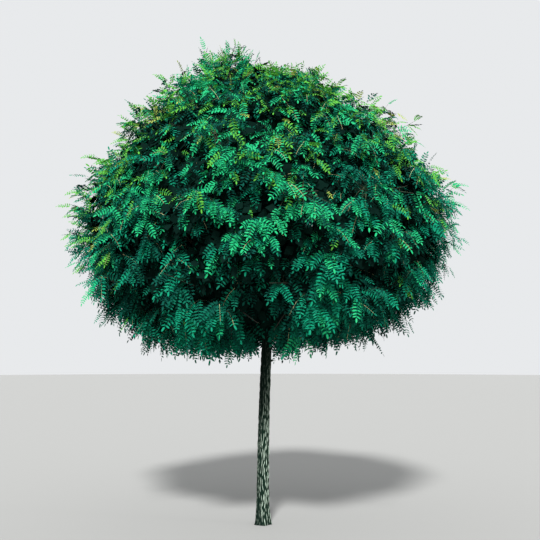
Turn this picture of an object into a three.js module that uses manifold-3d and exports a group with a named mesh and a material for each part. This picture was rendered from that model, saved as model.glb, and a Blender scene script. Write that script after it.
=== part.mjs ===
// Globe black locust: a round-headed locust tree on a clear stem, as a scene graph of closed solids.
// Millimetres, +Z up, the origin in the middle of the flat cut through the trunk at ground level.
// The side that the photograph shows looks towards -Y, and azimuth is counted from there towards +X.
// Limbs leave the swollen graft head and the spreading boughs, and each one carries one mass of foliage.

import * as THREE from "three";
import { mergeVertices } from "three/addons/utils/BufferGeometryUtils.js";
import Module from "manifold-3d";

const wasm = await Module();
wasm.setup();

// Trunk: its radius under the graft head, its taper for each millimetre down, and the flare at its foot
const TRUNK_TOP_RADIUS = 46;
const TRUNK_TAPER = 0.0082;
const FLARE_REACH = 20;
const FLARE_HEIGHT = 100;
const ROOT_TOES = 5;
const ROOT_TOE_SHARE = 0.4;
const ROOT_TOE_TURN = 0.6;
const TRUNK_SIDES = 16;
const TRUNK_LEAN = 50;
const TRUNK_LEAN_POWER = 2.2;
const STUB_HEIGHT = 1545;
const STUB_RADIUS = 11;
const STUB_REACH = 16;
const STUB_SIDES = 8;
const STUB_LEAN = 79;

// Heights of the rings that the trunk's sides are drawn through, close together where it flares or swells
const FLARE_LEVELS = [0, 35, 80, 140, 230];
const STEM_LEVELS = [400, 700, 1000, 1300, 1550, 1700];
const NECK_LEVELS = [1810, 1840, 1870, 1900];

// Graft head, the swollen knuckle on the trunk that all boughs leave
const GRAFT_HEIGHT = 1930;
const GRAFT_RADIUS = 96;
const GRAFT_RISE = 80;
const GRAFT_NECK = 120;
const GRAFT_DOME_RINGS = 5;
const GRAFT_DOME_SHARE = 0.9;

// Crown outline: a pointed dome over a rounded skirt, round one middle level, all tilted a little
const CROWN_RADIUS = 1890;
const CROWN_TOP = 4480;
const CROWN_FOOT = 1530;
const CROWN_MIDDLE = 2700;
const CROWN_TILT = -3;
const DOME_POWER = 1.7;
const SKIRT_POWER = 2.3;

// Masses of foliage, ring by ring, and the limbs that carry them. Stretch is the share of the crown's
// outline that a ring's sprays reach, and end the share at which its limbs end.
const RINGS = [
  {
    name: "top",
    place: { count: 1, elevation: 75, azimuth: -100, stretch: 1.06 },
    limb: { name: "leader", rise: 90, radius: 16, end: 0.44, lift: 0.17 },
  },
  {
    name: "upper",
    place: { count: 5, elevation: 49, azimuth: 36, stretch: 1.0 },
    limb: { name: "upper_bough", rise: 62, radius: 18, end: 0.46, lift: 0.21 },
  },
  {
    name: "middle",
    place: { count: 8, elevation: 9, azimuth: 0, stretch: 1.0 },
    limb: { name: "spreading_bough", rise: 32, radius: 25, end: 0.48, lift: 0.24 },
  },
  {
    name: "skirt",
    place: { count: 8, elevation: -31, azimuth: 22.5, stretch: 1.0 },
    limb: { name: "skirt_limb", rise: 12, radius: 16, end: 0.48, lift: 0.14 },
  },
];
const AZIMUTH_SPREAD = 5;
const ELEVATION_SPREAD = 3;
const STRETCH_SPREAD = 0.02;
const SEED = 58;

// Limbs
const LIMB_SIDES = 5;
const LIMB_STEPS = 5;
const LIMB_TIP_SHARE = 0.52;
const LIMB_START_PULL = 0.38;
const LIMB_END_PULL = 0.34;
const LIMB_ROOT_SHARE = 0.4;
const SKIRT_LIMB_LEAVES_AT = 0.3;

// Every solid stays this far from the one that carries it
const GAP = 0.3;

// One mass: its space, its stem, its core and its twigs. Ends and centres are shares of the crown's reach.
const SPACE_MARGIN = 5;
const PULL_ROUNDS = 6;
const STEM_END = 0.7;
const STEM_SIDES = 5;
const STEM_STEPS = 2;
const CORE_CENTRE = 0.69;
const CORE_HALF_DEPTH = 125;
const CORE_HALF_WIDTH = 640;
const CORE_MARGIN = 60;
const CORE_LUMPS = 0.1;
const TWIGS = 6;
const TWIG_SPREAD = 0.32;
const TWIG_FORK = { low: 0.8, high: 0.97 };
const TWIG_END = { low: 0.864, high: 0.9 };
const TWIG_RADIUS = 18;
const TWIG_TIP_RADIUS = 14;
const TWIG_MARGIN = 60;
const TWIG_SIDES = 3;

// Leaf sprays: each blade stands for several compound leaves. The first on a twig stands near its end.
const TWIG_LEAFY_SHARE = 0.3;
const SPRAYS_PER_TWIG = 4;
const FIRST_SEAT = 0.6;
const SPRAY_LENGTH = 390;
const SPRAY_WIDTH = 230;
const SPRAY_WAIST = 0.5;
const SPRAY_THICKNESS = 12;
const SPRAY_ROOT = 3;
const SPRAY_SAG = 0.3;
const SPRAY_FACE_LIFT = 0.2;
const SPRAY_SIZE = { low: 0.85, high: 1.1 };
const SPRAY_TURN_SPREAD = 0.2;
const SPRAY_TRIES = 12;
const SPRAY_SHRINK = 0.05;
const END_SPRAY_ASIDE = 0.45;
const OUTLINE = { low: 0.96, high: 1 };
const WOOD_CLEARANCE = 12;
const WOOD_STEPS = 24;

const CROWN_CENTRE = new THREE.Vector3(0, 0, CROWN_MIDDLE);
const UP = new THREE.Vector3(0, 0, 1);
const FORWARD = new THREE.Vector3(0, 1, 0);

// A repeatable stream of numbers from 0 to 1.
function seededStream(seed) {
  let state = seed >>> 0;
  return () => {
    state = (state + 0x6d2b79f5) >>> 0;
    let mixed = Math.imul(state ^ (state >>> 15), state | 1);
    mixed ^= mixed + Math.imul(mixed ^ (mixed >>> 7), mixed | 61);
    return ((mixed ^ (mixed >>> 14)) >>> 0) / 4294967296;
  };
}

function between(random, low, high) {
  return low + (high - low) * random();
}

function within(random, range) {
  return between(random, range.low, range.high);
}

function directionAt(azimuth, elevation) {
  const a = THREE.MathUtils.degToRad(azimuth);
  const e = THREE.MathUtils.degToRad(elevation);
  return new THREE.Vector3(Math.sin(a) * Math.cos(e), -Math.cos(a) * Math.cos(e), Math.sin(e));
}

// Distance from the crown's centre to its outline, along a unit direction.
function crownReach(direction) {
  const upright = direction.clone().applyAxisAngle(FORWARD, THREE.MathUtils.degToRad(-CROWN_TILT));
  const level = Math.hypot(upright.x, upright.y) / CROWN_RADIUS;
  const above = upright.z >= 0;
  const height = Math.abs(upright.z) / (above ? CROWN_TOP - CROWN_MIDDLE : CROWN_MIDDLE - CROWN_FOOT);
  const power = above ? DOME_POWER : SKIRT_POWER;
  return (level ** power + height ** power) ** (-1 / power);
}

// Two unit vectors square to a direction and to each other.
function acrossFrame(direction) {
  const near = Math.abs(direction.z) < 0.95 ? UP : new THREE.Vector3(1, 0, 0);
  const side = new THREE.Vector3().crossVectors(near, direction).normalize();
  return [side, new THREE.Vector3().crossVectors(direction, side).normalize()];
}

// Rings of equal count joined by quads, with a flat fan on the first and the last.
function geometryFromRings(rings) {
  const sides = rings[0].length;
  const points = rings.flat();
  const triangles = [];
  for (let r = 0; r + 1 < rings.length; r++) {
    for (let s = 0; s < sides; s++) {
      const a = r * sides + s;
      const b = r * sides + ((s + 1) % sides);
      triangles.push(a, b, b + sides, a, b + sides, a + sides);
    }
  }
  const last = (rings.length - 1) * sides;
  for (let s = 1; s + 1 < sides; s++) {
    triangles.push(0, s + 1, s, last, last + s, last + s + 1);
  }
  const geometry = new THREE.BufferGeometry();
  geometry.setAttribute("position", new THREE.Float32BufferAttribute(points.flatMap((p) => p.toArray()), 3));
  geometry.setIndex(triangles);
  return geometry;
}

function solidFrom(geometry) {
  const bare = geometry.clone();
  bare.deleteAttribute("normal");
  bare.deleteAttribute("uv");
  const merged = mergeVertices(bare, 1e-3);
  return new wasm.Manifold(
    new wasm.Mesh({
      numProp: 3,
      vertProperties: new Float32Array(merged.attributes.position.array),
      triVerts: new Uint32Array(merged.index.array),
    }),
  );
}

// The largest piece of a solid: scraps that a cut or a fuse leaves loose are dropped.
function largestPiece(solid) {
  return solid.decompose().reduce((a, b) => (b.volume() > a.volume() ? b : a));
}

function geometryFromSolid(solid) {
  const mesh = solid.getMesh();
  const geometry = new THREE.BufferGeometry();
  geometry.setAttribute("position", new THREE.BufferAttribute(new Float32Array(mesh.vertProperties), 3));
  geometry.setIndex(new THREE.BufferAttribute(new Uint32Array(mesh.triVerts), 1));
  geometry.computeVertexNormals();
  return geometry;
}

// Trunk

function trunkCentre(z) {
  return new THREE.Vector3(TRUNK_LEAN * (z / GRAFT_HEIGHT) ** TRUNK_LEAN_POWER, 0, z);
}

// Radius of the stem below the graft head, with its root flare spread into toes.
function trunkRadius(z, angle) {
  const taper = TRUNK_TOP_RADIUS + TRUNK_TAPER * (GRAFT_HEIGHT - z);
  const toes = 1 + ROOT_TOE_SHARE * Math.cos(ROOT_TOES * angle + ROOT_TOE_TURN);
  const flare = FLARE_REACH * toes * Math.exp(-z / FLARE_HEIGHT);
  const below = Math.min(1, Math.max(0, (z - (GRAFT_HEIGHT - GRAFT_NECK)) / GRAFT_NECK));
  const swell = (GRAFT_RADIUS - TRUNK_TOP_RADIUS) * Math.sin((below * Math.PI) / 2) ** 2;
  return taper + flare + swell;
}

function trunkRing(z, radiusAt) {
  const centre = trunkCentre(z);
  return Array.from({ length: TRUNK_SIDES }, (_, s) => {
    const angle = (2 * Math.PI * s) / TRUNK_SIDES;
    const radius = radiusAt(angle);
    return new THREE.Vector3(radius * Math.cos(angle), radius * Math.sin(angle), 0).add(centre);
  });
}

// The trunk from the ground cut to the graft head, grown on all sides by `grown`.
function trunkSolid(grown) {
  const levels = [...FLARE_LEVELS, ...STEM_LEVELS, ...NECK_LEVELS, GRAFT_HEIGHT];
  const rings = levels.map((z) => trunkRing(z, (angle) => trunkRadius(z, angle) + grown));
  for (let k = 1; k <= GRAFT_DOME_RINGS; k++) {
    const lift = (GRAFT_DOME_SHARE * (k / GRAFT_DOME_RINGS) * Math.PI) / 2;
    const z = GRAFT_HEIGHT + (GRAFT_RISE + grown) * Math.sin(lift);
    const radius = (GRAFT_RADIUS + grown) * Math.cos(lift);
    rings.push(trunkRing(GRAFT_HEIGHT, () => radius).map((p) => p.setZ(z)));
  }
  return solidFrom(geometryFromRings(rings));
}

// What is left of a small pruned side branch, low under the crown on the side towards +X.
function prunedStub() {
  const foot = trunkCentre(STUB_HEIGHT);
  const reach = trunkRadius(STUB_HEIGHT, 0) + STUB_REACH;
  const stub = new THREE.CylinderGeometry(STUB_RADIUS * 0.7, STUB_RADIUS, reach, STUB_SIDES);
  stub.translate(0, reach / 2, 0);
  stub.rotateZ(-THREE.MathUtils.degToRad(STUB_LEAN));
  stub.translate(foot.x, foot.y, foot.z);
  return solidFrom(stub);
}

// Limbs

function limbCurve(start, startDirection, end, endDirection) {
  const span = start.distanceTo(end);
  return new THREE.CubicBezierCurve3(
    start,
    start.clone().addScaledVector(startDirection, span * LIMB_START_PULL),
    end.clone().addScaledVector(endDirection, -span * LIMB_END_PULL),
    end,
  );
}

// A tapering tube along a curve, with flat ends square to it.
function taperedTube(curve, baseRadius, tipRadius, sides, steps, grown = 0) {
  const frames = curve.computeFrenetFrames(steps, false);
  const rings = [];
  for (let k = 0; k <= steps; k++) {
    const centre = curve.getPointAt(k / steps);
    const radius = baseRadius + (tipRadius - baseRadius) * (k / steps) + grown;
    rings.push(
      Array.from({ length: sides }, (_, s) => {
        const angle = (2 * Math.PI * s) / sides;
        return centre
          .clone()
          .addScaledVector(frames.normals[k], radius * Math.cos(angle))
          .addScaledVector(frames.binormals[k], radius * Math.sin(angle));
      }),
    );
  }
  return geometryFromRings(rings);
}

// Masses: one direction from the crown's centre for each, ring by ring

function numbered(name, ring, k) {
  return ring.place.count > 1 ? `${name}_${k + 1}` : name;
}

function foliageMasses() {
  const random = seededStream(SEED);
  return RINGS.flatMap((ring) =>
    Array.from({ length: ring.place.count }, (_, k) => {
      const turn = between(random, -AZIMUTH_SPREAD, AZIMUTH_SPREAD);
      const azimuth = ring.place.azimuth + (360 / ring.place.count) * k + turn;
      const elevation = ring.place.elevation + between(random, -ELEVATION_SPREAD, ELEVATION_SPREAD);
      return {
        ring,
        number: k,
        name: numbered(`foliage_${ring.name}`, ring, k),
        limbName: numbered(ring.limb.name, ring, k),
        azimuth,
        direction: directionAt(azimuth, elevation),
        stretch: ring.place.stretch + between(random, -STRETCH_SPREAD, STRETCH_SPREAD),
      };
    }),
  );
}

// Each mass keeps to the cone of directions that lie nearest to its own.
function insideSpace(mass, masses, point, margin = SPACE_MARGIN) {
  const from = point.clone().sub(CROWN_CENTRE);
  return masses.every((other) => {
    if (other === mass) {
      return true;
    }
    const border = mass.direction.clone().sub(other.direction).normalize();
    return from.dot(border) >= margin;
  });
}

// A point moved, where it has to be, until it keeps a margin to every border of the mass's space.
function pulledInside(mass, masses, point, margin) {
  const from = point.clone().sub(CROWN_CENTRE);
  for (let round = 0; round < PULL_ROUNDS; round++) {
    for (const other of masses) {
      if (other !== mass) {
        const border = mass.direction.clone().sub(other.direction).normalize();
        from.addScaledVector(border, Math.max(0, margin - from.dot(border)));
      }
    }
  }
  return from.add(CROWN_CENTRE);
}

function pointInCrown(direction, share) {
  return CROWN_CENTRE.clone().addScaledVector(direction, crownReach(direction) * share);
}

const masses = foliageMasses();

// A limb leaves the graft head, or the bough that carries it, and ends where it enters its mass.
function limbOf(mass, carrier) {
  const { rise, radius, end, lift } = mass.ring.limb;
  const startDirection = directionAt(mass.azimuth, rise);
  const start = carrier
    ? carrier.curve.getPointAt(SKIRT_LIMB_LEAVES_AT)
    : trunkCentre(GRAFT_HEIGHT).addScaledVector(startDirection, GRAFT_RADIUS * LIMB_ROOT_SHARE);
  const outward = mass.direction.clone().addScaledVector(UP, lift).normalize();
  return {
    curve: limbCurve(start, startDirection, pointInCrown(mass.direction, end), outward),
    baseRadius: radius,
    tipRadius: radius * LIMB_TIP_SHARE,
    carrier,
  };
}

function limbSolid(limb, grown = 0) {
  const tube = taperedTube(limb.curve, limb.baseRadius, limb.tipRadius, LIMB_SIDES, LIMB_STEPS, grown);
  return solidFrom(tube);
}

const inRing = (name) => masses.filter((mass) => mass.ring.name === name);
for (const mass of [...inRing("top"), ...inRing("upper"), ...inRing("middle")]) {
  mass.limb = limbOf(mass, null);
}
const spreading = inRing("middle").map((mass) => mass.limb);
for (const mass of inRing("skirt")) {
  mass.limb = limbOf(mass, spreading[mass.number]);
}
// Balls strung along the limbs and the upper trunk, which the sprays keep clear of.
const woodBalls = Array.from({ length: WOOD_STEPS + 1 }, (_, k) => k / WOOD_STEPS).flatMap((t) => {
  const height = THREE.MathUtils.lerp(CROWN_FOOT, GRAFT_HEIGHT, t);
  const trunkBall = { point: trunkCentre(height), radius: trunkRadius(height, 0) };
  const limbBalls = masses.map(({ limb }) => ({
    point: limb.curve.getPointAt(t),
    radius: THREE.MathUtils.lerp(limb.baseRadius, limb.tipRadius, t),
  }));
  return [trunkBall, ...limbBalls];
});

function clearOfWood(point) {
  return woodBalls.every((ball) => ball.point.distanceTo(point) > ball.radius + WOOD_CLEARANCE);
}

// Foliage

// A leaf spray as a thin pointed blade with six faces: flat inside, with a low keel along its outer side.
function sprayGeometry(root, tip, faceNormal, width) {
  const axis = tip.clone().sub(root);
  const side = new THREE.Vector3().crossVectors(axis, faceNormal).normalize();
  const outer = new THREE.Vector3().crossVectors(side, axis).normalize();
  const waist = root.clone().addScaledVector(axis, SPRAY_WAIST);
  const waistCorners = [
    waist.clone().addScaledVector(side, width / 2),
    waist.clone().addScaledVector(outer, SPRAY_THICKNESS),
    waist.clone().addScaledVector(side, -width / 2),
  ];
  const [left, , right] = waistCorners;
  const corners = [root, ...waistCorners, tip];
  const triangles = [];
  for (let s = 0; s < waistCorners.length; s++) {
    const a = 1 + s;
    const b = 1 + ((s + 1) % waistCorners.length);
    triangles.push(0, a, b, corners.length - 1, b, a);
  }
  const geometry = new THREE.BufferGeometry();
  geometry.setAttribute("position", new THREE.Float32BufferAttribute(corners.flatMap((p) => p.toArray()), 3));
  geometry.setIndex(triangles);
  const edges = [
    [root, left],
    [left, tip],
    [tip, right],
    [right, root],
  ];
  const faces = [
    [root, left, right],
    [tip, left, right],
  ];
  return { geometry, corners, edges, faces };
}

// The dense inside of a mass: a lumpy pad that keeps to the mass's own space.
function coreGeometry(mass, random) {
  const faceted = new THREE.DodecahedronGeometry(1);
  const ball = mergeVertices(faceted.deleteAttribute("normal").deleteAttribute("uv"), 1e-4);
  const [side, over] = acrossFrame(mass.direction);
  const centre = pointInCrown(mass.direction, CORE_CENTRE * mass.stretch);
  const position = ball.attributes.position;
  for (let v = 0; v < position.count; v++) {
    const lump = 1 + between(random, -CORE_LUMPS, CORE_LUMPS);
    const point = centre
      .clone()
      .addScaledVector(side, position.getX(v) * CORE_HALF_WIDTH * lump)
      .addScaledVector(over, position.getY(v) * CORE_HALF_WIDTH * lump)
      .addScaledVector(mass.direction, position.getZ(v) * CORE_HALF_DEPTH * lump);
    const kept = pulledInside(mass, masses, point, CORE_MARGIN);
    position.setXYZ(v, kept.x, kept.y, kept.z);
  }
  return ball;
}

// A twig's direction from the crown's centre: one in the middle of the mass's space and the others round it.
function twigDirection(mass, k, turnedBy) {
  const [side, over] = acrossFrame(mass.direction);
  const spread = k === 0 ? 0 : Math.tan(TWIG_SPREAD);
  const turn = (2 * Math.PI * k) / (TWIGS - 1) + turnedBy;
  return mass.direction
    .clone()
    .addScaledVector(side, spread * Math.cos(turn))
    .addScaledVector(over, spread * Math.sin(turn))
    .normalize();
}

// The stem that goes on from the bough's tip, and the twigs that leave it.
function branching(mass, index) {
  const random = seededStream(SEED * 100 + index);
  const outward = mass.limb.curve.getTangentAt(1);
  const stemStart = mass.limb.curve.getPointAt(1).addScaledVector(outward, GAP);
  const stemEnd = pointInCrown(mass.direction, STEM_END * mass.stretch);
  const stem = limbCurve(stemStart, outward, stemEnd, mass.direction);
  const twigs = Array.from({ length: TWIGS }, (_, k) => {
    const root = stem.getPointAt(within(random, TWIG_FORK));
    const wanted = pointInCrown(twigDirection(mass, k, index), within(random, TWIG_END) * mass.stretch);
    return new THREE.LineCurve3(root, pulledInside(mass, masses, wanted, TWIG_MARGIN));
  });
  return { stem, twigs };
}

// A spray's tip lies on the crown's outline, aside from its seat and a little lower.
function sprayTip(mass, seat, turn, length, share) {
  const outwards = seat.clone().sub(CROWN_CENTRE).normalize();
  const [side, over] = acrossFrame(outwards);
  const aside = seat
    .clone()
    .addScaledVector(side, length * Math.cos(turn))
    .addScaledVector(over, length * Math.sin(turn))
    .addScaledVector(UP, -SPRAY_SAG * length);
  const tip = pointInCrown(aside.sub(CROWN_CENTRE).normalize(), share * mass.stretch);
  return pulledInside(mass, masses, tip, 2 * SPACE_MARGIN);
}

function passesThrough([from, to], face) {
  const way = to.clone().sub(from);
  const ray = new THREE.Ray(from, way.clone().normalize());
  const hit = ray.intersectTriangle(...face, false, new THREE.Vector3());
  return hit !== null && hit.distanceTo(from) <= way.length();
}

// Whether two things cross, each given by its edges and its flat faces.
function cross(one, other) {
  return (
    one.edges.some((edge) => other.faces.some((face) => passesThrough(edge, face))) ||
    other.edges.some((edge) => one.faces.some((face) => passesThrough(edge, face)))
  );
}

// The sprays along one twig: one near its end and the others turned evenly round it. A spray that would
// leave the mass's space, touch the wood or cross another is drawn again, each time shorter and turned
// a little further, and then skipped.
function twigSprays(mass, twig, taken, random) {
  const firstTurn = between(random, 0, 2 * Math.PI);
  for (let j = 0; j < SPRAYS_PER_TWIG; j++) {
    for (let round = 0; round < SPRAY_TRIES; round++) {
      const seat = twig.getPointAt(1 - (TWIG_LEAFY_SHARE * (j + FIRST_SEAT)) / SPRAYS_PER_TWIG);
      const size = (1 - SPRAY_SHRINK * round) * within(random, SPRAY_SIZE);
      const aside = (j === 0 ? END_SPRAY_ASIDE : 1) * SPRAY_LENGTH * size;
      const evenTurn = (2 * Math.PI * j) / (SPRAYS_PER_TWIG - 1);
      const oddTurn = between(random, -SPRAY_TURN_SPREAD, SPRAY_TURN_SPREAD) * (1 + round);
      const turn = firstTurn + evenTurn + oddTurn;
      const tip = sprayTip(mass, seat, turn, aside, within(random, OUTLINE));
      const root = seat.clone().addScaledVector(tip.clone().sub(seat).normalize(), -SPRAY_ROOT);
      const faceNormal = seat.clone().sub(CROWN_CENTRE).normalize().addScaledVector(UP, SPRAY_FACE_LIFT);
      const spray = sprayGeometry(root, tip, faceNormal, SPRAY_WIDTH * size);
      const fits =
        spray.corners.every((p) => insideSpace(mass, masses, p) && clearOfWood(p)) &&
        !taken.some((other) => other.twig !== twig && cross(spray, other));
      if (fits) {
        taken.push(spray);
        break;
      }
    }
  }
}

function massSolid(mass, index) {
  const random = seededStream(SEED * 200 + index);
  const { stem, twigs } = branching(mass, index);
  const stemTube = taperedTube(stem, mass.limb.tipRadius, TWIG_RADIUS, STEM_SIDES, STEM_STEPS);
  const pieces = [stemTube, coreGeometry(mass, random)];
  const taken = twigs.map((twig) => ({ twig, edges: [[twig.v1, twig.v2]], faces: [] }));
  for (const twig of twigs) {
    pieces.push(taperedTube(twig, TWIG_RADIUS, TWIG_TIP_RADIUS, TWIG_SIDES, 1));
    twigSprays(mass, twig, taken, random);
  }
  const sprays = taken.filter((one) => one.geometry);
  pieces.push(...sprays.map((spray) => spray.geometry));
  return largestPiece(wasm.Manifold.union(pieces.map(solidFrom)));
}

// Assembly

const barkMaterial = new THREE.MeshStandardMaterial({ color: 0x7c857a, roughness: 0.92, metalness: 0 });
const shootMaterial = new THREE.MeshStandardMaterial({ color: 0x6b6a55, roughness: 0.85, metalness: 0 });
const foliageMaterial = new THREE.MeshStandardMaterial({ color: 0x1f7a4a, roughness: 0.55, metalness: 0 });

const tree = new THREE.Group();

function addPiece(name, solid, material) {
  const mesh = new THREE.Mesh(geometryFromSolid(solid), material.clone());
  mesh.name = name;
  tree.add(mesh);
}

addPiece("trunk", trunkSolid(0).add(prunedStub()), barkMaterial);
const trunkKeepOut = trunkSolid(GAP);
for (const { limb, limbName } of masses) {
  const keepOut = limb.carrier ? limbSolid(limb.carrier, GAP) : trunkKeepOut;
  addPiece(limbName, largestPiece(limbSolid(limb).subtract(keepOut)), shootMaterial);
}
masses.forEach((mass, index) => addPiece(mass.name, massSolid(mass, index), foliageMaterial));

export default tree;
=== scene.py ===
"""A globe black locust on its clear stem: ridged bark, boughs, twigs and compound leaves.

Lengths are metres. The side that the photograph shows looks towards -Y, and azimuth is counted from
there towards +X. Shares of the reach are counted from the crown's centre to its outline.
"""

import math
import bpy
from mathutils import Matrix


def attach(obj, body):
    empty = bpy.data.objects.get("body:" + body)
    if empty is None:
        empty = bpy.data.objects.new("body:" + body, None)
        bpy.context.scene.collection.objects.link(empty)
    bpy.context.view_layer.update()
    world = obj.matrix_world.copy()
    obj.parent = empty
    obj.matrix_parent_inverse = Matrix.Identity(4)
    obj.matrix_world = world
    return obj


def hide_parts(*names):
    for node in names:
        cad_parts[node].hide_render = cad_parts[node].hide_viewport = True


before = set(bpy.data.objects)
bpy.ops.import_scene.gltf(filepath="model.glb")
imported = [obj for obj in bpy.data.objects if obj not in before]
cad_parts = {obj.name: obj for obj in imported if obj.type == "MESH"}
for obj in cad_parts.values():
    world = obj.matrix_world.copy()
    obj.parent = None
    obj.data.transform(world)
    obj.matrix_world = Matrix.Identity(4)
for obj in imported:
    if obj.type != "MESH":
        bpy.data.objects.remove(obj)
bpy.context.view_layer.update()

from types import SimpleNamespace

import bpy
import numpy as np
from mathutils import Vector

bl_info = {
    "name": "Globe black locust",
    "version": (1, 0, 0),
    "blender": (4, 5, 0),
    "location": "3D View > Sidebar > Locust",
    "description": "Builds the bark, boughs, twigs and leaves of a round-headed locust tree on its frame",
    "category": "Add Mesh",
}

BODY = "root"

# Trunk, as in the source of the solids
TRUNK_TOP_RADIUS = 0.046
TRUNK_TAPER = 0.0082
FLARE_REACH = 0.020
FLARE_HEIGHT = 0.100
ROOT_TOES = 5
ROOT_TOE_SHARE = 0.4
ROOT_TOE_TURN = 0.6
TRUNK_LEAN = 0.050
TRUNK_LEAN_POWER = 2.2
STUB_HEIGHT = 1.545
STUB_RADIUS = 0.011
STUB_REACH = 0.016
STUB_LEAN = 79
STUB_ROOT_SHARE = 0.55
STUB_END_RISE = 0.002
STUB_FOOT_WIDER = 1.35
STUB_TAPER = 0.5
GRAFT_HEIGHT = 1.930
GRAFT_RADIUS = 0.096
GRAFT_RISE = 0.080
GRAFT_NECK = 0.120

# Crown outline: a pointed dome over a rounded skirt, tilted a little about the Y axis
CROWN_RADIUS = 1.890
CROWN_TOP = 4.480
CROWN_FOOT = 1.530
CROWN_MIDDLE = 2.700
CROWN_TILT = -3
DOME_POWER = 1.7
SKIRT_POWER = 2.3
CROWN_CENTRE = np.array([0.0, 0.0, CROWN_MIDDLE])

# Masses of foliage and their limbs, ring by ring, as in the source of the solids
RING_FIELDS = ("name", "count", "elevation", "azimuth", "stretch", "limb", "rise", "radius", "end", "lift")
RINGS = [
    SimpleNamespace(**dict(zip(RING_FIELDS, values)))
    for values in (
        ("top", 1, 75, -100, 1.06, "leader", 90, 0.016, 0.44, 0.17),
        ("upper", 5, 49, 36, 1.0, "upper_bough", 62, 0.018, 0.46, 0.21),
        ("middle", 8, 9, 0, 1.0, "spreading_bough", 32, 0.025, 0.48, 0.24),
        ("skirt", 8, -31, 22.5, 1.0, "skirt_limb", 12, 0.016, 0.48, 0.14),
    )
]
AZIMUTH_SPREAD = 5
ELEVATION_SPREAD = 3
STRETCH_SPREAD = 0.02
SEED = 58
LIMB_STEPS = 60
STEM_STEPS = 24
CURVE_SAMPLES = 120
LIMB_TIP_SHARE = 0.52
LIMB_START_PULL = 0.38
LIMB_END_PULL = 0.34
LIMB_ROOT_SHARE = 0.4
SKIRT_LIMB_LEAVES_AT = 0.3
GAP = 0.0003
PULL_ROUNDS = 6
STEM_END = 0.7
TWIGS = 6
TWIG_SPREAD = 0.32
TWIG_FORK = (0.8, 0.97)
TWIG_END = (0.864, 0.9)
TWIG_MARGIN = 0.060

# Leaf pieces: each stands for the masses of foliage that it names, and stays under 200,000 triangles
LEAF_PIECES = {
    "leaves_crown_top": ["foliage_top", "foliage_upper_1", "foliage_upper_2"],
    "leaves_crown_upper": ["foliage_upper_3", "foliage_upper_4", "foliage_upper_5"],
    "leaves_middle_right": [f"foliage_middle_{k}" for k in (1, 2, 3, 4)],
    "leaves_middle_left": [f"foliage_middle_{k}" for k in (5, 6, 7, 8)],
    "leaves_skirt_right": [f"foliage_skirt_{k}" for k in (1, 2, 3, 4)],
    "leaves_skirt_left": [f"foliage_skirt_{k}" for k in (5, 6, 7, 8)],
}

# Hollows between the tiers: azimuth, elevation, half width, half height in degrees, and depth as a share
FRONT_HOLLOWS = [
    (0, -43, 8, 16, 0.46),
    (-12, -20, 15, 4.5, 0.24),
    (8, -17, 9, 4, 0.13),
    (22, 11, 9, 5, 0.15),
    (-24, -7, 8, 5, 0.09),
    (-4, 4, 7, 4, 0.12),
    (-38, -12, 8, 5, 0.08),
    (36, -14, 12, 5, 0.14),
    (-30, 27, 8, 4, 0.06),
    (6, 30, 8, 4, 0.10),
    (-48, -24, 14, 5, 0.12),
    (44, 4, 9, 4, 0.10),
    (58, -6, 10, 4, 0.09),
    (-62, 2, 9, 4, 0.08),
]

# Hollows drawn for the other sides, and small pockets all over, each with the ranges of the same numbers.
# A pocket's elevation is drawn as its sine, which deals them evenly
OTHER_HOLLOWS = 24
OTHER_HOLLOW_RANGES = [(40, 320), (-35, 60), (6, 12), (3.5, 6), (0.09, 0.15)]
POCKETS = 70
POCKET_RANGES = [(-180, 180), (-0.6, 0.95), (2.5, 5.5), (2, 3.5), (0.07, 0.14)]

# How often the hanging fringe swells and falls in round the crown
FRINGE_LOBES = 23

# Where the crown's outline swells or falls in: azimuth, elevation, half width in degrees, change of share
OUTLINE_CHANGES = [
    (95, 66, 22, -0.085),
    (0, 70, 14, -0.03),
    (50, -52, 18, -0.085),
    (-84, -51, 12, -0.07),
    (78, -33, 14, 0.03),
    (-38, -43, 7, 0.06),
    (14, -47, 6, 0.10),
    (88, 42, 14, 0.085),
    (88, -26, 12, 0.02),
    (88, 6, 24, 0.04),
    (-92, 38, 14, 0.045),
    (-92, 14, 15, 0.040),
    (-88, 17, 7, 0.09),
    (-88, 8, 4, 0.04),
    (-92, 0, 6, -0.02),
    (-126, 40, 14, -0.05),
    (-92, 60, 12, 0.04),
    (-95, 77, 9, 0.07),
    (70, 80, 9, -0.06),
    (60, 62, 12, 0.02),
    (40, -40, 12, -0.035),
    (140, -42, 20, -0.03),
    (97, -54, 15, -0.08),
    (-14, 74, 8, -0.05),
]

# The side of the crown that has most sun, which the leaves turn to
SUN_AZIMUTH = -6
SUN_ELEVATION = 38

# Where painted sunlight falls, which gives leaves paler, yellower and young tints: azimuth, elevation and
# half width in degrees
SUNNY_PLACES = [(-78, 18, 27), (-60, 40, 18), (62, 46, 26), (20, 62, 22), (130, 35, 30), (-150, 20, 30)]

# Where leaves spread level instead of hanging: azimuth, elevation and half width in degrees
LEVEL_PLACES = [(-82, 12, 26), (-50, 36, 16), (70, 22, 16), (120, 30, 18), (175, 25, 22)]

UP = np.array([0.0, 0.0, 1.0])
DOWN = -UP
EAST = np.array([1.0, 0.0, 0.0])


# Numbers and directions


def seeded_stream(seed):
    """A repeatable stream of numbers from 0 to 1, the same as the one that the solids are drawn with."""
    mask = 0xFFFFFFFF
    state = seed & mask

    def draw():
        nonlocal state
        state = (state + 0x6D2B79F5) & mask
        mixed = ((state ^ (state >> 15)) * (state | 1)) & mask
        mixed ^= (mixed + (((mixed ^ (mixed >> 7)) * (mixed | 61)) & mask)) & mask
        return ((mixed ^ (mixed >> 14)) & mask) / 4294967296

    return draw


def between(draw, low, high):
    return low + (high - low) * draw()


def unit(vectors):
    """The same directions with length one, whatever the array's shape."""
    return vectors / np.linalg.norm(vectors, axis=-1, keepdims=True)


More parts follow.
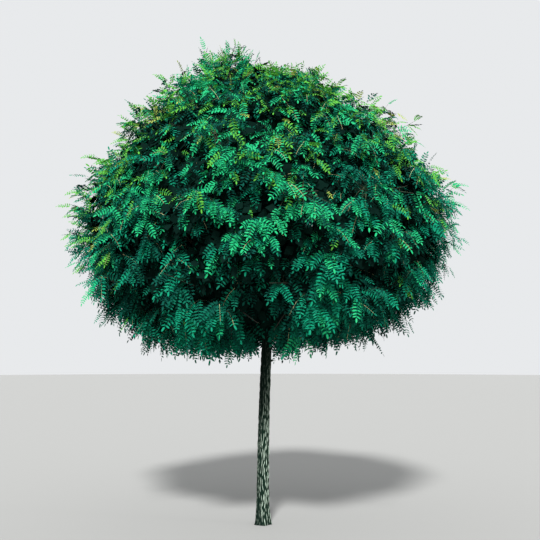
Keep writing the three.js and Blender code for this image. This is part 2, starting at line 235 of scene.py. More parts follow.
def dot(a, b):
    return np.sum(a * b, axis=-1, keepdims=True)


def rise(value, start, span):
    """0 up to a start, then rising evenly to 1 over a span."""
    return np.clip((value - start) / span, 0, 1)


# Crown rule


def direction_at(azimuth, elevation):
    a = np.radians(azimuth)
    e = np.radians(elevation)
    return np.stack([np.sin(a) * np.cos(e), -np.cos(a) * np.cos(e), np.sin(e) + 0 * a], axis=-1)


def crown_reach(directions):
    """Distance from the crown's centre to its outline, along unit directions."""
    tilt = math.radians(CROWN_TILT)
    x = directions[..., 0] * math.cos(tilt) - directions[..., 2] * math.sin(tilt)
    z = directions[..., 0] * math.sin(tilt) + directions[..., 2] * math.cos(tilt)
    level = np.hypot(x, directions[..., 1]) / CROWN_RADIUS
    above = z >= 0
    height = np.abs(z) / np.where(above, CROWN_TOP - CROWN_MIDDLE, CROWN_MIDDLE - CROWN_FOOT)
    power = np.where(above, DOME_POWER, SKIRT_POWER)
    return (level**power + height**power) ** (-1 / power)


def point_in_crown(directions, share):
    return CROWN_CENTRE + directions * (crown_reach(directions) * share)[..., None]


def share_of_reach(points):
    """How far out points lie, as a share of the crown's reach in their direction."""
    way = points - CROWN_CENTRE
    return np.linalg.norm(way, axis=-1) / crown_reach(unit(way))


def across_frame(direction):
    """Two unit vectors square to a direction and to each other."""
    near = UP if abs(direction[2]) < 0.95 else EAST
    side = unit(np.cross(near, direction))
    return side, unit(np.cross(direction, side))


def bezier(start, start_pull, end_pull, end, steps):
    """Points evenly spaced along a cubic curve."""
    t = np.linspace(0, 1, CURVE_SAMPLES + 1)[:, None]
    fine = (
        start * (1 - t) ** 3
        + 3 * start_pull * t * (1 - t) ** 2
        + 3 * end_pull * t**2 * (1 - t)
        + end * t**3
    )
    run = np.concatenate([[0], np.cumsum(np.linalg.norm(np.diff(fine, axis=0), axis=1))])
    wanted = np.linspace(0, run[-1], steps + 1)
    return np.stack([np.interp(wanted, run, fine[:, axis]) for axis in range(3)], axis=1)


def limb_curve(start, start_direction, end, end_direction, steps=LIMB_STEPS):
    span = np.linalg.norm(end - start)
    first = start + start_direction * span * LIMB_START_PULL
    last = end - end_direction * span * LIMB_END_PULL
    return bezier(start, first, last, end, steps)


def curve_point(points, share):
    """The point at a share of a curve's length, for evenly spaced points."""
    place = share * (len(points) - 1)
    low = min(int(place), len(points) - 2)
    return points[low] + (points[low + 1] - points[low]) * (place - low)


def trunk_centre(z):
    return np.array([TRUNK_LEAN * (z / GRAFT_HEIGHT) ** TRUNK_LEAN_POWER, 0.0, z])


def numbered(name, ring, k):
    return f"{name}_{k + 1}" if ring.count > 1 else name


def pulled_inside(mass, masses, point, margin):
    """A point moved until it keeps a margin to every border of the mass's space."""
    way = point - CROWN_CENTRE
    for _ in range(PULL_ROUNDS):
        for other in masses:
            if other is not mass:
                border = unit(mass.direction - other.direction)
                way = way + border * max(0.0, margin - float(way @ border))
    return way + CROWN_CENTRE


def placed_masses():
    draw = seeded_stream(SEED)
    masses = []
    for ring in RINGS:
        for k in range(ring.count):
            turn = between(draw, -AZIMUTH_SPREAD, AZIMUTH_SPREAD)
            azimuth = ring.azimuth + 360 / ring.count * k + turn
            elevation = ring.elevation + between(draw, -ELEVATION_SPREAD, ELEVATION_SPREAD)
            masses.append(
                SimpleNamespace(
                    ring=ring,
                    number=k,
                    name=numbered("foliage_" + ring.name, ring, k),
                    limb_name=numbered(ring.limb, ring, k),
                    azimuth=azimuth,
                    direction=direction_at(azimuth, elevation),
                    stretch=ring.stretch + between(draw, -STRETCH_SPREAD, STRETCH_SPREAD),
                )
            )
    return masses


def add_limb(mass, carrier):
    """A limb leaves the graft head, or the bough that carries it, and ends where it enters its mass."""
    ring = mass.ring
    start_direction = direction_at(mass.azimuth, ring.rise)
    if carrier is None:
        start = trunk_centre(GRAFT_HEIGHT) + start_direction * GRAFT_RADIUS * LIMB_ROOT_SHARE
    else:
        start = curve_point(carrier.limb, SKIRT_LIMB_LEAVES_AT)
    outward = unit(mass.direction + UP * ring.lift)
    end = point_in_crown(mass.direction, ring.end)
    mass.limb = limb_curve(start, start_direction, end, outward)
    mass.limb_radius = ring.radius


def add_branching(mass, index, masses):
    """The stem that goes on from the bough's tip, and the main twigs that leave it."""
    draw = seeded_stream(SEED * 100 + index)
    outward = unit(mass.limb[-1] - mass.limb[-2])
    stem_end = point_in_crown(mass.direction, STEM_END * mass.stretch)
    mass.stem = limb_curve(mass.limb[-1] + outward * GAP, outward, stem_end, mass.direction, STEM_STEPS)
    side, over = across_frame(mass.direction)
    mass.twigs = []
    for k in range(TWIGS):
        root = curve_point(mass.stem, between(draw, *TWIG_FORK))
        spread = 0 if k == 0 else math.tan(TWIG_SPREAD)
        turn = 2 * math.pi * k / (TWIGS - 1) + index
        aside = side * math.cos(turn) + over * math.sin(turn)
        direction = unit(mass.direction + spread * aside)
        wanted = point_in_crown(direction, between(draw, *TWIG_END) * mass.stretch)
        mass.twigs.append((root, pulled_inside(mass, masses, wanted, TWIG_MARGIN)))


def grown_tree():
    """Every mass of foliage with its limb, its stem and its main twigs."""
    masses = placed_masses()
    spreading = [mass for mass in masses if mass.ring.name == "middle"]
    for mass in masses:
        add_limb(mass, spreading[mass.number] if mass.ring.name == "skirt" else None)
    for index, mass in enumerate(masses):
        add_branching(mass, index, masses)
    return masses


# Shoots: the finer twigs, dealt evenly over the crown, each carried by the nearest main twig

# Where the crown counts as high, by elevation in degrees, and as low, by the height of a direction
HIGH_FROM = 25
HIGH_SPAN = 40
LOW_SPAN = 0.7

# How far out shoots end, as shares of the crown's reach: more high up, less low down and between two masses
SHOOT_JITTER = 1.6
SHOOT_REACH = 0.885
SHOOT_REACH_SPREAD = (-0.07, 0.04)
HIGH_GAIN = 0.025
LOW_LOSS = 0.035
SEAM_DEPTH = 0.06
SEAM_WIDTH = 0.05
FRINGE_DEPTH = 0.035

# Single sprigs stand out over the rest, but not from a hollow
SPRIG_CHANCE = 0.05
SPRIG_REACH = 0.935
SPRIG_SPREAD = 0.035
SPRIG_DEEPEST = 0.05
SPRIG_LEAST_CHANGE = -0.02

# How a shoot leaves its twig and comes to its tip
SHOOT_SEAT = (0.12, 0.95)
SHOOT_SEAT_FALL = 0.85
SHOOT_AIM = 0.5
SHOOT_LEAVE_SPREAD = 0.2
SHOOT_ARRIVE_SPREAD = 0.22
SHOOT_RISE = 0.45
SHOOT_HANG = 0.35
SHOOT_HANG_SPREAD = (0.3, 1.4)
SHOOT_START_PULL = 0.4
SHOOT_END_PULL = 0.36


def drawn_places(random, count, ranges):
    """Places drawn one after the other, each with one number from every range."""
    return [[random.uniform(low, high) for low, high in ranges] for _ in range(count)]


def hollow_depth(azimuth, elevation, random):
    """How far the crown's face falls back at each place, as a share of its reach."""
    others = drawn_places(random, OTHER_HOLLOWS, OTHER_HOLLOW_RANGES)
    pockets = drawn_places(random, POCKETS, POCKET_RANGES)
    for pocket in pockets:
        pocket[1] = np.degrees(np.arcsin(pocket[1]))
    depth = np.zeros(len(azimuth))
    for a, e, wide, high, deep in FRONT_HOLLOWS + others + pockets:
        aside = (azimuth - a + 180) % 360 - 180
        near = np.exp(-((aside * np.cos(np.radians(e)) / wide) ** 2) - ((elevation - e) / high) ** 2)
        depth = np.maximum(depth, deep * near)
    return depth


def swell(directions, azimuth, elevation, wide):
    """A smooth bump on the crown: 1 at its place, and less than half beyond its half width in degrees."""
    apart = np.degrees(np.arccos(np.clip(directions @ direction_at(azimuth, elevation), -1, 1)))
    return np.exp(-((apart / wide) ** 2))


def outline_change(directions):
    """How far the outline stands out from the plain round one, as a share of its reach."""
    return sum(share * swell(directions, *place) for *place, share in OUTLINE_CHANGES)


def nearness(directions, places):
    """How close directions are to the nearest of some places on the crown, from 0 to 1."""
    return np.max([swell(directions, *place) for place in places], axis=0)


def dealt_directions(settings, random):
    """Azimuths and elevations dealt evenly round the crown on a spiral, a little out of place."""
    count = settings.shoots
    spiral = np.arange(count) + 0.5
    azimuth = np.degrees(spiral * math.pi * (3 - math.sqrt(5))) % 360
    elevation = np.degrees(np.arcsin(1 - 2 * spiral / count))
    azimuth = azimuth + random.normal(0, SHOOT_JITTER, count)
    elevation = np.clip(elevation + random.normal(0, SHOOT_JITTER, count), -90, 89)
    kept = elevation > np.degrees(settings.lowest_elevation)
    return azimuth[kept], elevation[kept]


def shoot_curve(mass, tip, direction, high, spreading, steps, random):
    """A shoot leaves the nearest main twig, and rises to its tip high up or hangs to it elsewhere."""
    ends = np.array([end for _, end in mass.twigs])
    nearest = int(np.argmax(unit(ends - CROWN_CENTRE) @ direction))
    root, end = mass.twigs[nearest]
    length = np.linalg.norm(end - root)
    aside = np.linalg.norm(tip - end)
    seat = float(np.clip(SHOOT_SEAT[1] - SHOOT_SEAT_FALL * aside / length, *SHOOT_SEAT))
    start = root + (end - root) * seat
    span = np.linalg.norm(tip - start)
    leave = unit(end - root) + SHOOT_AIM * unit(tip - start) + random.normal(0, SHOOT_LEAVE_SPREAD, 3)
    hang = SHOOT_HANG * (1 - high) * (1 - spreading) * random.uniform(*SHOOT_HANG_SPREAD)
    lean = SHOOT_RISE * high - hang
    arrive = unit(direction + UP * lean + random.normal(0, SHOOT_ARRIVE_SPREAD, 3))
    start_pull = start + unit(leave) * span * SHOOT_START_PULL
    return bezier(start, start_pull, tip - arrive * span * SHOOT_END_PULL, tip, steps)


def crown_shoots(masses, settings):
    """Shoots as curves, with the mass that each belongs to and how far out it stands."""
    random = np.random.RandomState(SEED)
    azimuth, elevation = dealt_directions(settings, random)
    count = len(azimuth)
    directions = direction_at(azimuth, elevation)
    closeness = directions @ np.array([mass.direction for mass in masses]).T
    owner = np.argmax(closeness, axis=1)
    order = np.sort(closeness, axis=1)
    seam = order[:, -1] - order[:, -2]
    depth = hollow_depth(azimuth, elevation, random)
    high = rise(elevation, HIGH_FROM, HIGH_SPAN)
    low = rise(-directions[:, 2], 0, LOW_SPAN)
    share = SHOOT_REACH + HIGH_GAIN * high - LOW_LOSS * low + random.uniform(*SHOOT_REACH_SPREAD, count)
    share = share - SEAM_DEPTH * np.exp(-((seam / SEAM_WIDTH) ** 2)) - depth
    share = share + low * FRINGE_DEPTH * np.sin(np.radians(azimuth) * FRINGE_LOBES)

    change = outline_change(directions)
    sprig = random.uniform(0, 1, count) < SPRIG_CHANCE * (1 + high)
    sprig = sprig & (depth < SPRIG_DEEPEST) & (change > SPRIG_LEAST_CHANGE)
    stretch = np.array([mass.stretch for mass in masses])[owner]
    share = np.where(sprig, SPRIG_REACH + random.uniform(0, SPRIG_SPREAD, count), share) * stretch + change
    tips = point_in_crown(directions, share)
    spreading = nearness(directions, LEVEL_PLACES)
    places = zip(owner, tips, directions, high, spreading)
    curves = [shoot_curve(masses[k], *place, settings.shoot_steps, random) for k, *place in places]
    return SimpleNamespace(
        curves=np.array(curves), owner=owner, high=high, low=low, spreading=spreading,
        depth=depth, share=share, random=random,
    )


# Compound leaves

# A leaflet's corners as shares of its length, its half width and its fold: base, left, tip, right
OVAL_OUTLINE = [(0, 0, 0), (0.24, 0.92, 1), (0.74, 0.84, 1), (1, 0, 0), (0.74, -0.84, 1), (0.24, -0.92, 1)]
OVAL_FACES = [(0, 1, 2, 3), (0, 3, 4, 5)]
PLAIN_OUTLINE = [(0, 0, 0), (0.48, 1.12, 0.6), (1, 0, 0), (0.48, -1.12, 0.6)]
PLAIN_FACES = [(0, 1, 2, 3)]

# How the leaflets of outer leaves and of those behind stand on their stalk
LEAFLET_STAND = {
    "stalk": 0.018, "forward": math.radians(18), "sag": 0.12, "fold": 0.25, "louvre": 0.6, "thickness": 0.0028
}

# A broad shade leaf: two pairs of large plain blades without a stalk strip
BROAD_LEAFLET = SimpleNamespace(
    outline=PLAIN_OUTLINE, faces=PLAIN_FACES, length=0.098, width=0.068, spacing=0.058, stalk=0.02,
    forward=math.radians(24), sag=0.1, fold=0.0, louvre=0.0, strip=0,
)
BROAD_PAIRS = 2
SHADE_LEAF_LENGTH = 0.170

# Leaflets on a stalk: the share of a space to the last one, and how unlike each other they are
END_SPACE = 0.55
AXIS_SPREAD = 0.10
FACE_SPREAD = 0.20
LENGTH_SPREAD = (0.9, 1.1)
SMALLEST_LEAFLET = 0.80
MIDDLE_LARGER = 0.20
END_LEAFLET = 0.95
STALK_TIP = 0.5
PALE_STALKS = 0.07

# How leaves stand on a shoot: the last runs on along it, the others go aside by turns
LAST_LEAF_FROM = 0.97
LAST_AHEAD = 0.9
LAST_ASIDE = 0.15
OTHER_AHEAD = 0.30
OTHER_ASIDE = 0.75
ASIDE_SPREAD = 0.35
ALONG_SPREAD = 0.02

# How leaves hang and turn: level high up and at the level places, to the sun everywhere, most at both rims
MOST_LEVEL = 0.9
HANG = 0.5
HANG_LOST_LEVEL = 0.55
OUTWARD = 0.05
OUTWARD_HIGH = 0.15
OUTWARD_LEVEL = 0.2
FACE_UP = 0.30
FACE_UP_HIGH = 0.45
FACE_OUTWARD_LOST_HIGH = 0.9
FACE_LEVEL_HIGH = 0.8
LEVEL_SPREAD = 0.05
TO_SUN = 0.5
TO_SUN_LEVEL = 0.8
TO_SUN_RIM = 1.2
RIM_FROM = 0.8
RIM_STEEPNESS = 6
TURN_SPREAD = 0.32
DROOP = 1.1
DROOP_LOST_LEVEL = 0.8
DROOP_SPREAD = (0.5, 1.5)

# Leaf sizes: smaller high up and at the end of a shoot, larger low down
SMALLER_HIGH = 0.10
LARGER_LOW = 0.22
SIZE_SPREAD = (0.84, 1.16)
REACH_JITTER = 0.06
SMALLER_AT_END = 0.22
END_OF_SHOOT = 0.2


def leaf_seats(shoots, first, last, count, spread):
    """Where leaves sit along the shoots, which way each one sets out and which way its face looks."""
    random = shoots.random
    number = len(shoots.curves)
    steps = shoots.curves.shape[1] - 1
    jitter = random.uniform(-ALONG_SPREAD, ALONG_SPREAD, (number, count))
    along = np.linspace(first, last, count)[None, :] + jitter
    place = np.clip(along, 0, 1) * steps
    before = np.minimum(place.astype(int), steps - 1)
    rows = np.arange(number)[:, None]
    a = shoots.curves[rows, before]
    b = shoots.curves[rows, before + 1]
    seat = a + (b - a) * (place - before)[..., None]
    tangent = unit(b - a)
    outward = unit(seat - CROWN_CENTRE)
    high = shoots.high[:, None, None]
    flat = np.maximum(high, MOST_LEVEL * shoots.spreading[:, None, None])

    # Leaves stand by turns on the left and on the right of the shoot
    side = np.cross(tangent, UP)
    side = unit(side + random.normal(0, ASIDE_SPREAD, (number, 1, 3)))
    hand = np.where((np.arange(count) + rows) % 2 == 0, 1.0, -1.0)[..., None]
    last_leaf = (along > LAST_LEAF_FROM)[..., None]
    aside = side * hand * np.where(last_leaf, LAST_ASIDE, OTHER_ASIDE)
    heading = tangent * np.where(last_leaf, LAST_AHEAD, OTHER_AHEAD) + aside
    outwards = OUTWARD + OUTWARD_HIGH * high + OUTWARD_LEVEL * (flat - high)
    heading = heading + outward * outwards - UP * (HANG - HANG_LOST_LEVEL * flat)
    heading = unit(heading + random.normal(0, spread, heading.shape))

    # Faces look outwards, those high up also up and level, and all turn some way to the sun
    level = unit(outward * np.array([1.0, 1.0, 0.0]) + random.normal(0, LEVEL_SPREAD, outward.shape))
    light = UP * (FACE_UP + FACE_UP_HIGH * high) + outward * (1.0 - FACE_OUTWARD_LOST_HIGH * high)
    light = light + level * (FACE_LEVEL_HIGH * high)
    rim = np.clip(RIM_STEEPNESS * (np.abs(outward[..., :1]) - RIM_FROM), 0, 1)
    to_sun = TO_SUN + TO_SUN_LEVEL * (flat - high) + TO_SUN_RIM * rim
    facing = unit(light) + to_sun * direction_at(SUN_AZIMUTH, SUN_ELEVATION)
    facing = unit(facing + random.normal(0, TURN_SPREAD, heading.shape))

    droop = (DROOP - DROOP_LOST_LEVEL * flat[:, :, 0]) * random.uniform(*DROOP_SPREAD, (number, count))
    size = 1 - SMALLER_HIGH * shoots.high[:, None] + LARGER_LOW * shoots.low[:, None]
    size = size * random.uniform(*SIZE_SPREAD, (number, count))
    size = size * (1 - SMALLER_AT_END * rise(along, 1 - END_OF_SHOOT, END_OF_SHOOT))
    return SimpleNamespace(
        seat=seat.reshape(-1, 3),
        heading=heading.reshape(-1, 3),
        facing=facing.reshape(-1, 3),
        droop=droop.ravel(),
        size=size.ravel(),
        reach=share_of_reach(seat).ravel(),
        outward=outward.reshape(-1, 3),
        owner=np.repeat(shoots.owner, count),
        shoot=np.repeat(np.arange(number), count),
        along=along.ravel(),
    )


def twig_curves(masses, points):
    """Evenly spaced points along each straight main twig."""
    share = np.linspace(0, 1, points)[:, None]
    return np.array([root + (end - root) * share for mass in masses for root, end in mass.twigs])


def twig_carriers(masses, random):
    """The main twigs as carriers of shade leaves."""
    curves = twig_curves(masses, 4)
    none = np.zeros(len(curves))
    owner = np.repeat(np.arange(len(masses)), TWIGS)
    return SimpleNamespace(
        curves=curves, owner=owner, high=none + 0.5, low=none, spreading=none, random=random
    )


def joined(first, second):
    pairs = zip(vars(first).items(), vars(second).values())
    return SimpleNamespace(**{name: np.concatenate([a, b]) for (name, a), b in pairs})


def chosen(leaves, mask):
    return SimpleNamespace(**{name: values[mask] for name, values in vars(leaves).items()})


def evenly_dealt(leaves, reach, cell, most, random):
    """Leaves thinned so that each cell of directions keeps a few, those nearest to the wanted reach."""
    azimuth = np.degrees(np.arctan2(leaves.outward[:, 0], -leaves.outward[:, 1]))
    elevation = np.degrees(np.arcsin(leaves.outward[:, 2]))
    row = np.floor(elevation / cell)
    column = np.floor(azimuth * np.cos(np.radians((row + 0.5) * cell)) / cell)
    place = row * 1000 + column
    away = np.abs(leaves.reach - reach) + random.uniform(0, REACH_JITTER, len(place))
    order = np.lexsort((away, place))
    first = np.searchsorted(place[order], place[order])
    kept = np.zeros(len(place), dtype=bool)
    kept[order] = np.arange(len(place)) - first < np.broadcast_to(most, len(place))[order]
    return chosen(leaves, kept)


def leaf_mesh(leaves, pairs, leaflet, random):
    """Points, quads and tints of leaves that all have the same number of leaflet pairs."""
    count = len(leaves.seat)
    spots = leaflet.stalk + leaflet.spacing * np.arange(pairs)
    end = spots[-1] + END_SPACE * leaflet.spacing
    marks = np.concatenate([[0], spots, [end]])
    middles = (marks[1:] + marks[:-1]) / 2 / end
    bend = leaves.droop[:, None, None] * DOWN
    steps = unit(leaves.heading[:, None, :] + bend * middles[None, :, None])
    strides = steps * np.diff(marks)[None, :, None] * leaves.size[:, None, None]
    run = np.concatenate([np.zeros((count, 1, 3)), np.cumsum(strides, axis=1)], axis=1)
    points = leaves.seat[:, None, :] + run
    heading = unit(leaves.heading[:, None, :] + bend * (marks / end)[None, :, None])
    facing = np.broadcast_to(leaves.facing[:, None, :], heading.shape)
    facing = unit(facing - dot(facing, heading) * heading)
    across = np.cross(heading, facing)

    def dealt(left, right, last):
        """Values at the marks, for the leaflets on the left, those on the right and the last one."""
        return np.concatenate([left[:, 1:-1], right[:, 1:-1], last[:, -1:]], axis=1)

    # Two leaflets at each mark along the stalk, and one at its end. The louvre tilts each over the next
    ahead = heading * math.sin(leaflet.forward)
    sideways = across * math.cos(leaflet.forward)
    sag = facing * leaflet.sag
    axes = dealt(ahead + sideways - sag, ahead - sideways - sag, heading)
    axes = unit(axes + random.normal(0, AXIS_SPREAD, axes.shape))
    normals = dealt(facing, facing, facing) - leaflet.louvre * dealt(heading, heading, 0 * heading)
    normals = unit(normals + random.normal(0, FACE_SPREAD, axes.shape))
    normals = unit(normals - dot(normals, axes) * axes)
    widths = np.cross(axes, normals)
    profile = np.sin(np.pi * (np.arange(pairs) + 1) / (pairs + 0.5))
    profile = SMALLEST_LEAFLET + MIDDLE_LARGER * profile
    profile = np.concatenate([profile, profile, [END_LEAFLET]])[None, :] * leaves.size[:, None]
    long = (leaflet.length * profile * random.uniform(*LENGTH_SPREAD, axes.shape[:2]))[..., None]
    wide = (leaflet.width / 2 * profile)[..., None]
    shape = np.array(leaflet.outline, dtype=float)
    corners = (
        dealt(points, points, points)[:, :, None, :]
        + axes[:, :, None, :] * (long * shape[:, 0])[..., None]
        + widths[:, :, None, :] * (wide * shape[:, 1])[..., None]
        + normals[:, :, None, :] * (wide * shape[:, 2] * leaflet.fold)[..., None]
    ).reshape(-1, 3)
    leaflets = 2 * pairs + 1
    starts = np.arange(count * leaflets)[:, None, None] * len(shape)
    quads = (starts + np.array(leaflet.faces)[None]).reshape(-1, 4)
    tints = np.repeat(leaves.tint, leaflets * len(leaflet.faces))
    if not leaflet.strip:
        return corners, quads, tints

    # The stalk as a narrow tapering strip
    cuts = np.linspace(0, pairs + 1, leaflet.strip + 1).round().astype(int)
    half = leaflet.thickness / 2 * np.linspace(1, STALK_TIP, len(cuts))
    rail = across[:, cuts] * (half[None, :] * leaves.size[:, None])[..., None]
    strip = np.stack([points[:, cuts] - rail, points[:, cuts] + rail], axis=2).reshape(-1, 3)
    pattern = np.array([(2 * k, 2 * k + 1, 2 * k + 3, 2 * k + 2) for k in range(leaflet.strip)])
    starts = len(corners) + np.arange(count)[:, None, None] * (2 * len(cuts))
    # Most stalks take their leaf's painted light and shade one step darker, and a few are pale
    pale = random.uniform(0, 1, count) < PALE_STALKS
    stalk_tint = np.where(pale, STALK_TINT, np.maximum(leaves.tint - 1, DEEP_SHADE_TINT))
    return (
        np.concatenate([corners, strip]),
        np.concatenate([quads, (starts + pattern[None]).reshape(-1, 4)]),
        np.concatenate([tints, np.repeat(stalk_tint, leaflet.strip)]),
    )


# Rings of points, and tubes for twigs, boughs and the stub


def ring_angles(sides):
    return 2 * math.pi * np.arange(sides) / sides


def ring_quads(rings, sides):
    """Quads between rings of points, each ring joined to the next."""
    row = np.arange(rings - 1)[:, None] * sides
    spot = np.arange(sides)[None, :]
    after = (spot + 1) % sides
    return np.stack([row + spot, row + after, row + sides + after, row + sides + spot], axis=-1)


def fan(first, sides, middle):
    """Triangles from a ring of points, counted from its first, to the point in its middle."""
    spot = np.arange(sides)
    return np.stack([first + spot, first + (spot + 1) % sides, np.full(sides, middle)], axis=-1)


def tubes(curves, radii, sides, relief=0):
    """Rings of points round each curve, joined by quads. Radii are one for each curve and ring."""
    count, rings, _ = curves.shape
    tangent = unit(np.gradient(curves, axis=1))
    chord = unit(curves[:, -1] - curves[:, 0])
    helper = np.where(np.abs(chord[:, 2:]) < 0.9, UP, EAST)
    keep = unit(np.cross(chord, helper))
    side = unit(np.cross(tangent, keep[:, None, :]))
    over = np.cross(side, tangent)
    angle = ring_angles(sides)
    radius = np.broadcast_to(radii[..., None], (count, rings, sides)) + relief
    ring = side[:, :, None, :] * np.cos(angle)[:, None] + over[:, :, None, :] * np.sin(angle)[:, None]
    points = curves[:, :, None, :] + ring * radius[..., None]
    starts = np.arange(count)[:, None, None, None] * rings * sides
    return points.reshape(-1, 3), (starts + ring_quads(rings, sides)).reshape(-1, 4)


def gentle_waves(angle, length, random, turns, per_metre, count):
    """A smooth uneven field round a stem, about -1 to 1, that closes on itself round the stem."""
    total = np.zeros(np.broadcast(angle, length).shape)
    for _ in range(count):
        turn = random.randint(-turns, turns + 1)
        wave = random.uniform(0.2, 1.0) * per_metre * 2 * math.pi
        total = total + np.sin(turn * angle + wave * length + random.uniform(0, 2 * math.pi))
    return total / math.sqrt(count)


# Meshes and materials

BARK_IOR = 1.45


def linear_from_hex(text):
    """A colour written as an sRGB hex value, as linear red, green and blue."""
    values = [int(text[k : k + 2], 16) / 255 for k in (1, 3, 5)]
    return tuple(v / 12.92 if v <= 0.04045 else ((v + 0.055) / 1.055) ** 2.4 for v in values)


def opaque(value):
    return (*value, 1.0)


def add_node(tree, kind, settings=None, links=None, values=None):
    """Adds a node, sets its properties and its sockets, and links its inputs."""
    node = tree.nodes.new(kind)
    for name, value in (settings or {}).items():
        setattr(node, name, value)
    for socket, value in (values or {}).items():
        node.inputs[socket].default_value = value
    for socket, source in (links or {}).items():
        tree.links.new(source, node.inputs[socket])
    return node


def new_material(name, surface, build=None):
    """A material with one Principled surface. build adds its pattern and returns the linked sockets."""
    material = bpy.data.materials.new(name)
    material.use_nodes = True
    tree = material.node_tree
    tree.nodes.clear()
    links = build(tree) if build else {}
    shader = add_node(tree, "ShaderNodeBsdfPrincipled", links=links, values=surface)
    add_node(tree, "ShaderNodeOutputMaterial", links={"Surface": shader.outputs["BSDF"]})
    return material


def bark_pattern(tree, grain_scale, grain, weight, dark, pale, bump):
    """Grain laid over the ridges parts the dark cracks from the pale crests, with a fine bump.

    The grain's scale is given along x, y and z in turns per metre, and dark and pale as place and colour.
    """
    place = add_node(tree, "ShaderNodeTexCoord")
    ridge = add_node(tree, "ShaderNodeAttribute", {"attribute_name": "ridge"})
    sources = {"Vector": place.outputs["Object"]}
    stretched = add_node(tree, "ShaderNodeMapping", links=sources, values={"Scale": grain_scale})
    sources = {"Vector": stretched.outputs["Vector"]}
    noise = add_node(tree, "ShaderNodeTexNoise", links=sources, values={"Scale": 1.0, **grain})
    sources = {0: noise.outputs["Fac"], 2: ridge.outputs["Fac"]}
    uneven = add_node(tree, "ShaderNodeMath", {"operation": "MULTIPLY_ADD"}, sources, {1: weight})
    ramp = add_node(tree, "ShaderNodeValToRGB", links={"Fac": uneven.outputs["Value"]})
    for stop, (position, tint) in zip(ramp.color_ramp.elements, (dark, pale)):
        stop.position = position
        stop.color = opaque(tint)
    relief = add_node(tree, "ShaderNodeBump", links={"Height": noise.outputs["Fac"]}, values=bump)
    return {"Base Color": ramp.outputs["Color"], "Normal": relief.outputs["Normal"]}


def add_piece(name, points, polygons, materials, tints=None, smooth=False):
    """A mesh object from arrays of points and of polygons with equal numbers of corners."""
    mesh = bpy.data.meshes.new(name)
    mesh.vertices.add(len(points))
    mesh.vertices.foreach_set("co", np.ascontiguousarray(points, dtype=np.float32).ravel())
    sizes = np.concatenate([np.full(len(group), group.shape[1]) for group in polygons])
    corners = np.concatenate([group.ravel() for group in polygons]).astype(np.int32)
    mesh.loops.add(len(corners))
    mesh.loops.foreach_set("vertex_index", corners)
    mesh.polygons.add(len(sizes))
    starts = np.concatenate([[0], np.cumsum(sizes)[:-1]]).astype(np.int32)
    mesh.polygons.foreach_set("loop_start", starts)
    mesh.polygons.foreach_set("use_smooth", np.full(len(sizes), smooth))
    for material in materials:
        mesh.materials.append(material)
    if tints is not None:
        mesh.polygons.foreach_set("material_index", tints.astype(np.int32))
    mesh.update(calc_edges=True)
    if mesh.validate():
        raise RuntimeError(f"{name} had faces that had to be mended")
    piece = bpy.data.objects.new(name, mesh)
    bpy.context.scene.collection.objects.link(piece)
    return piece


def add_field(piece, name, values):
    """Numbers at the piece's points, which its material reads by name."""
    field = piece.data.attributes.new(name, "FLOAT", "POINT")
    field.data.foreach_set("value", values.astype(np.float32))


def seat_piece(piece, slot, *nodes):
    """Rides the piece on the tree's one body, in place of the solids that it stands for."""
    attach(piece, BODY)
    if nodes:
        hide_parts(*nodes)


# Settings


def colour(text, name, description):
    value = linear_from_hex(text)
    return bpy.props.FloatVectorProperty(
        name=name, description=description, subtype="COLOR", size=3, min=0, max=1, default=value
    )


def plain_number(default, low, high, name, description, **kind):
    return bpy.props.FloatProperty(
        name=name, description=description, default=default, min=low, max=high, **kind
    )


def metres(default, low, high, name, description):
    """A length in metres."""
    return plain_number(default, low, high, name, description, unit="LENGTH")


def degrees(default, low, high, name, description):
    """An angle, given in degrees."""
    default, low, high = (math.radians(value) for value in (default, low, high))
    return plain_number(default, low, high, name, description, subtype="ANGLE")


def whole_number(default, low, high, name, description):
    return bpy.props.IntProperty(name=name, description=description, default=default, min=low, max=high)


class TrunkSettings(bpy.types.PropertyGroup):
    """The trunk's bark."""

    ridge_depth: metres(0.005, 0, 0.02, "Ridge depth", "How far the bark's ridges stand over its furrows")
    ridge_spacing: metres(
        0.0165, 0.01, 0.08, "Ridge spacing", "Distance from one ridge to the next round the trunk"
    )
    ridge_width: metres(0.0025, 0.002, 0.03, "Ridge width", "Half the width of one ridge")
    ridge_colour: colour("#b0c1b0", "Ridges", "Colour of the weathered ridges")
    furrow_colour: colour("#0e2218", "Furrows", "Colour deep in the furrows")
    # This dark green paints the green film and also the painted shade on the trunk's left side and top
    shaded_colour: colour("#03140e", "Green film", "Colour of the thin green film high on the trunk")


class BoughSettings(bpy.types.PropertyGroup):
    """The boughs that leave the graft head."""

    relief: metres(0.0012, 0, 0.01, "Bark relief", "How far the young bark's ribs stand out")
    rib_colour: colour("#3c4233", "Ribs", "Colour of the young bark's ribs")
    crack_colour: colour("#12150f", "Cracks", "Colour of the young bark's cracks")


class TwigSettings(bpy.types.PropertyGroup):
    """The stems, the main twigs and the leafy shoots."""

    shoots: whole_number(
        2400, 50, 4000, "Shoots", "Number of shoots dealt round the whole ball, before the lowest go"
    )
    shoot_steps: whole_number(4, 2, 12, "Shoot steps", "Number of straight steps along a shoot")
    lowest_elevation: degrees(
        -62, -90, 0, "Lowest shoots", "Angle against the level of the crown's centre that no shoot is below"
    )
    shoot_thickness: metres(0.006, 0.001, 0.02, "Shoot thickness", "Thickness of a leafy shoot at its root")
    twig_thickness: metres(0.016, 0.004, 0.04, "Twig thickness", "Thickness of a main twig at its root")
    shoot_colour: colour("#2d3b22", "Shoots", "Colour of this year's shoots")
    twig_colour: colour("#23251b", "Twigs", "Colour of older twigs")


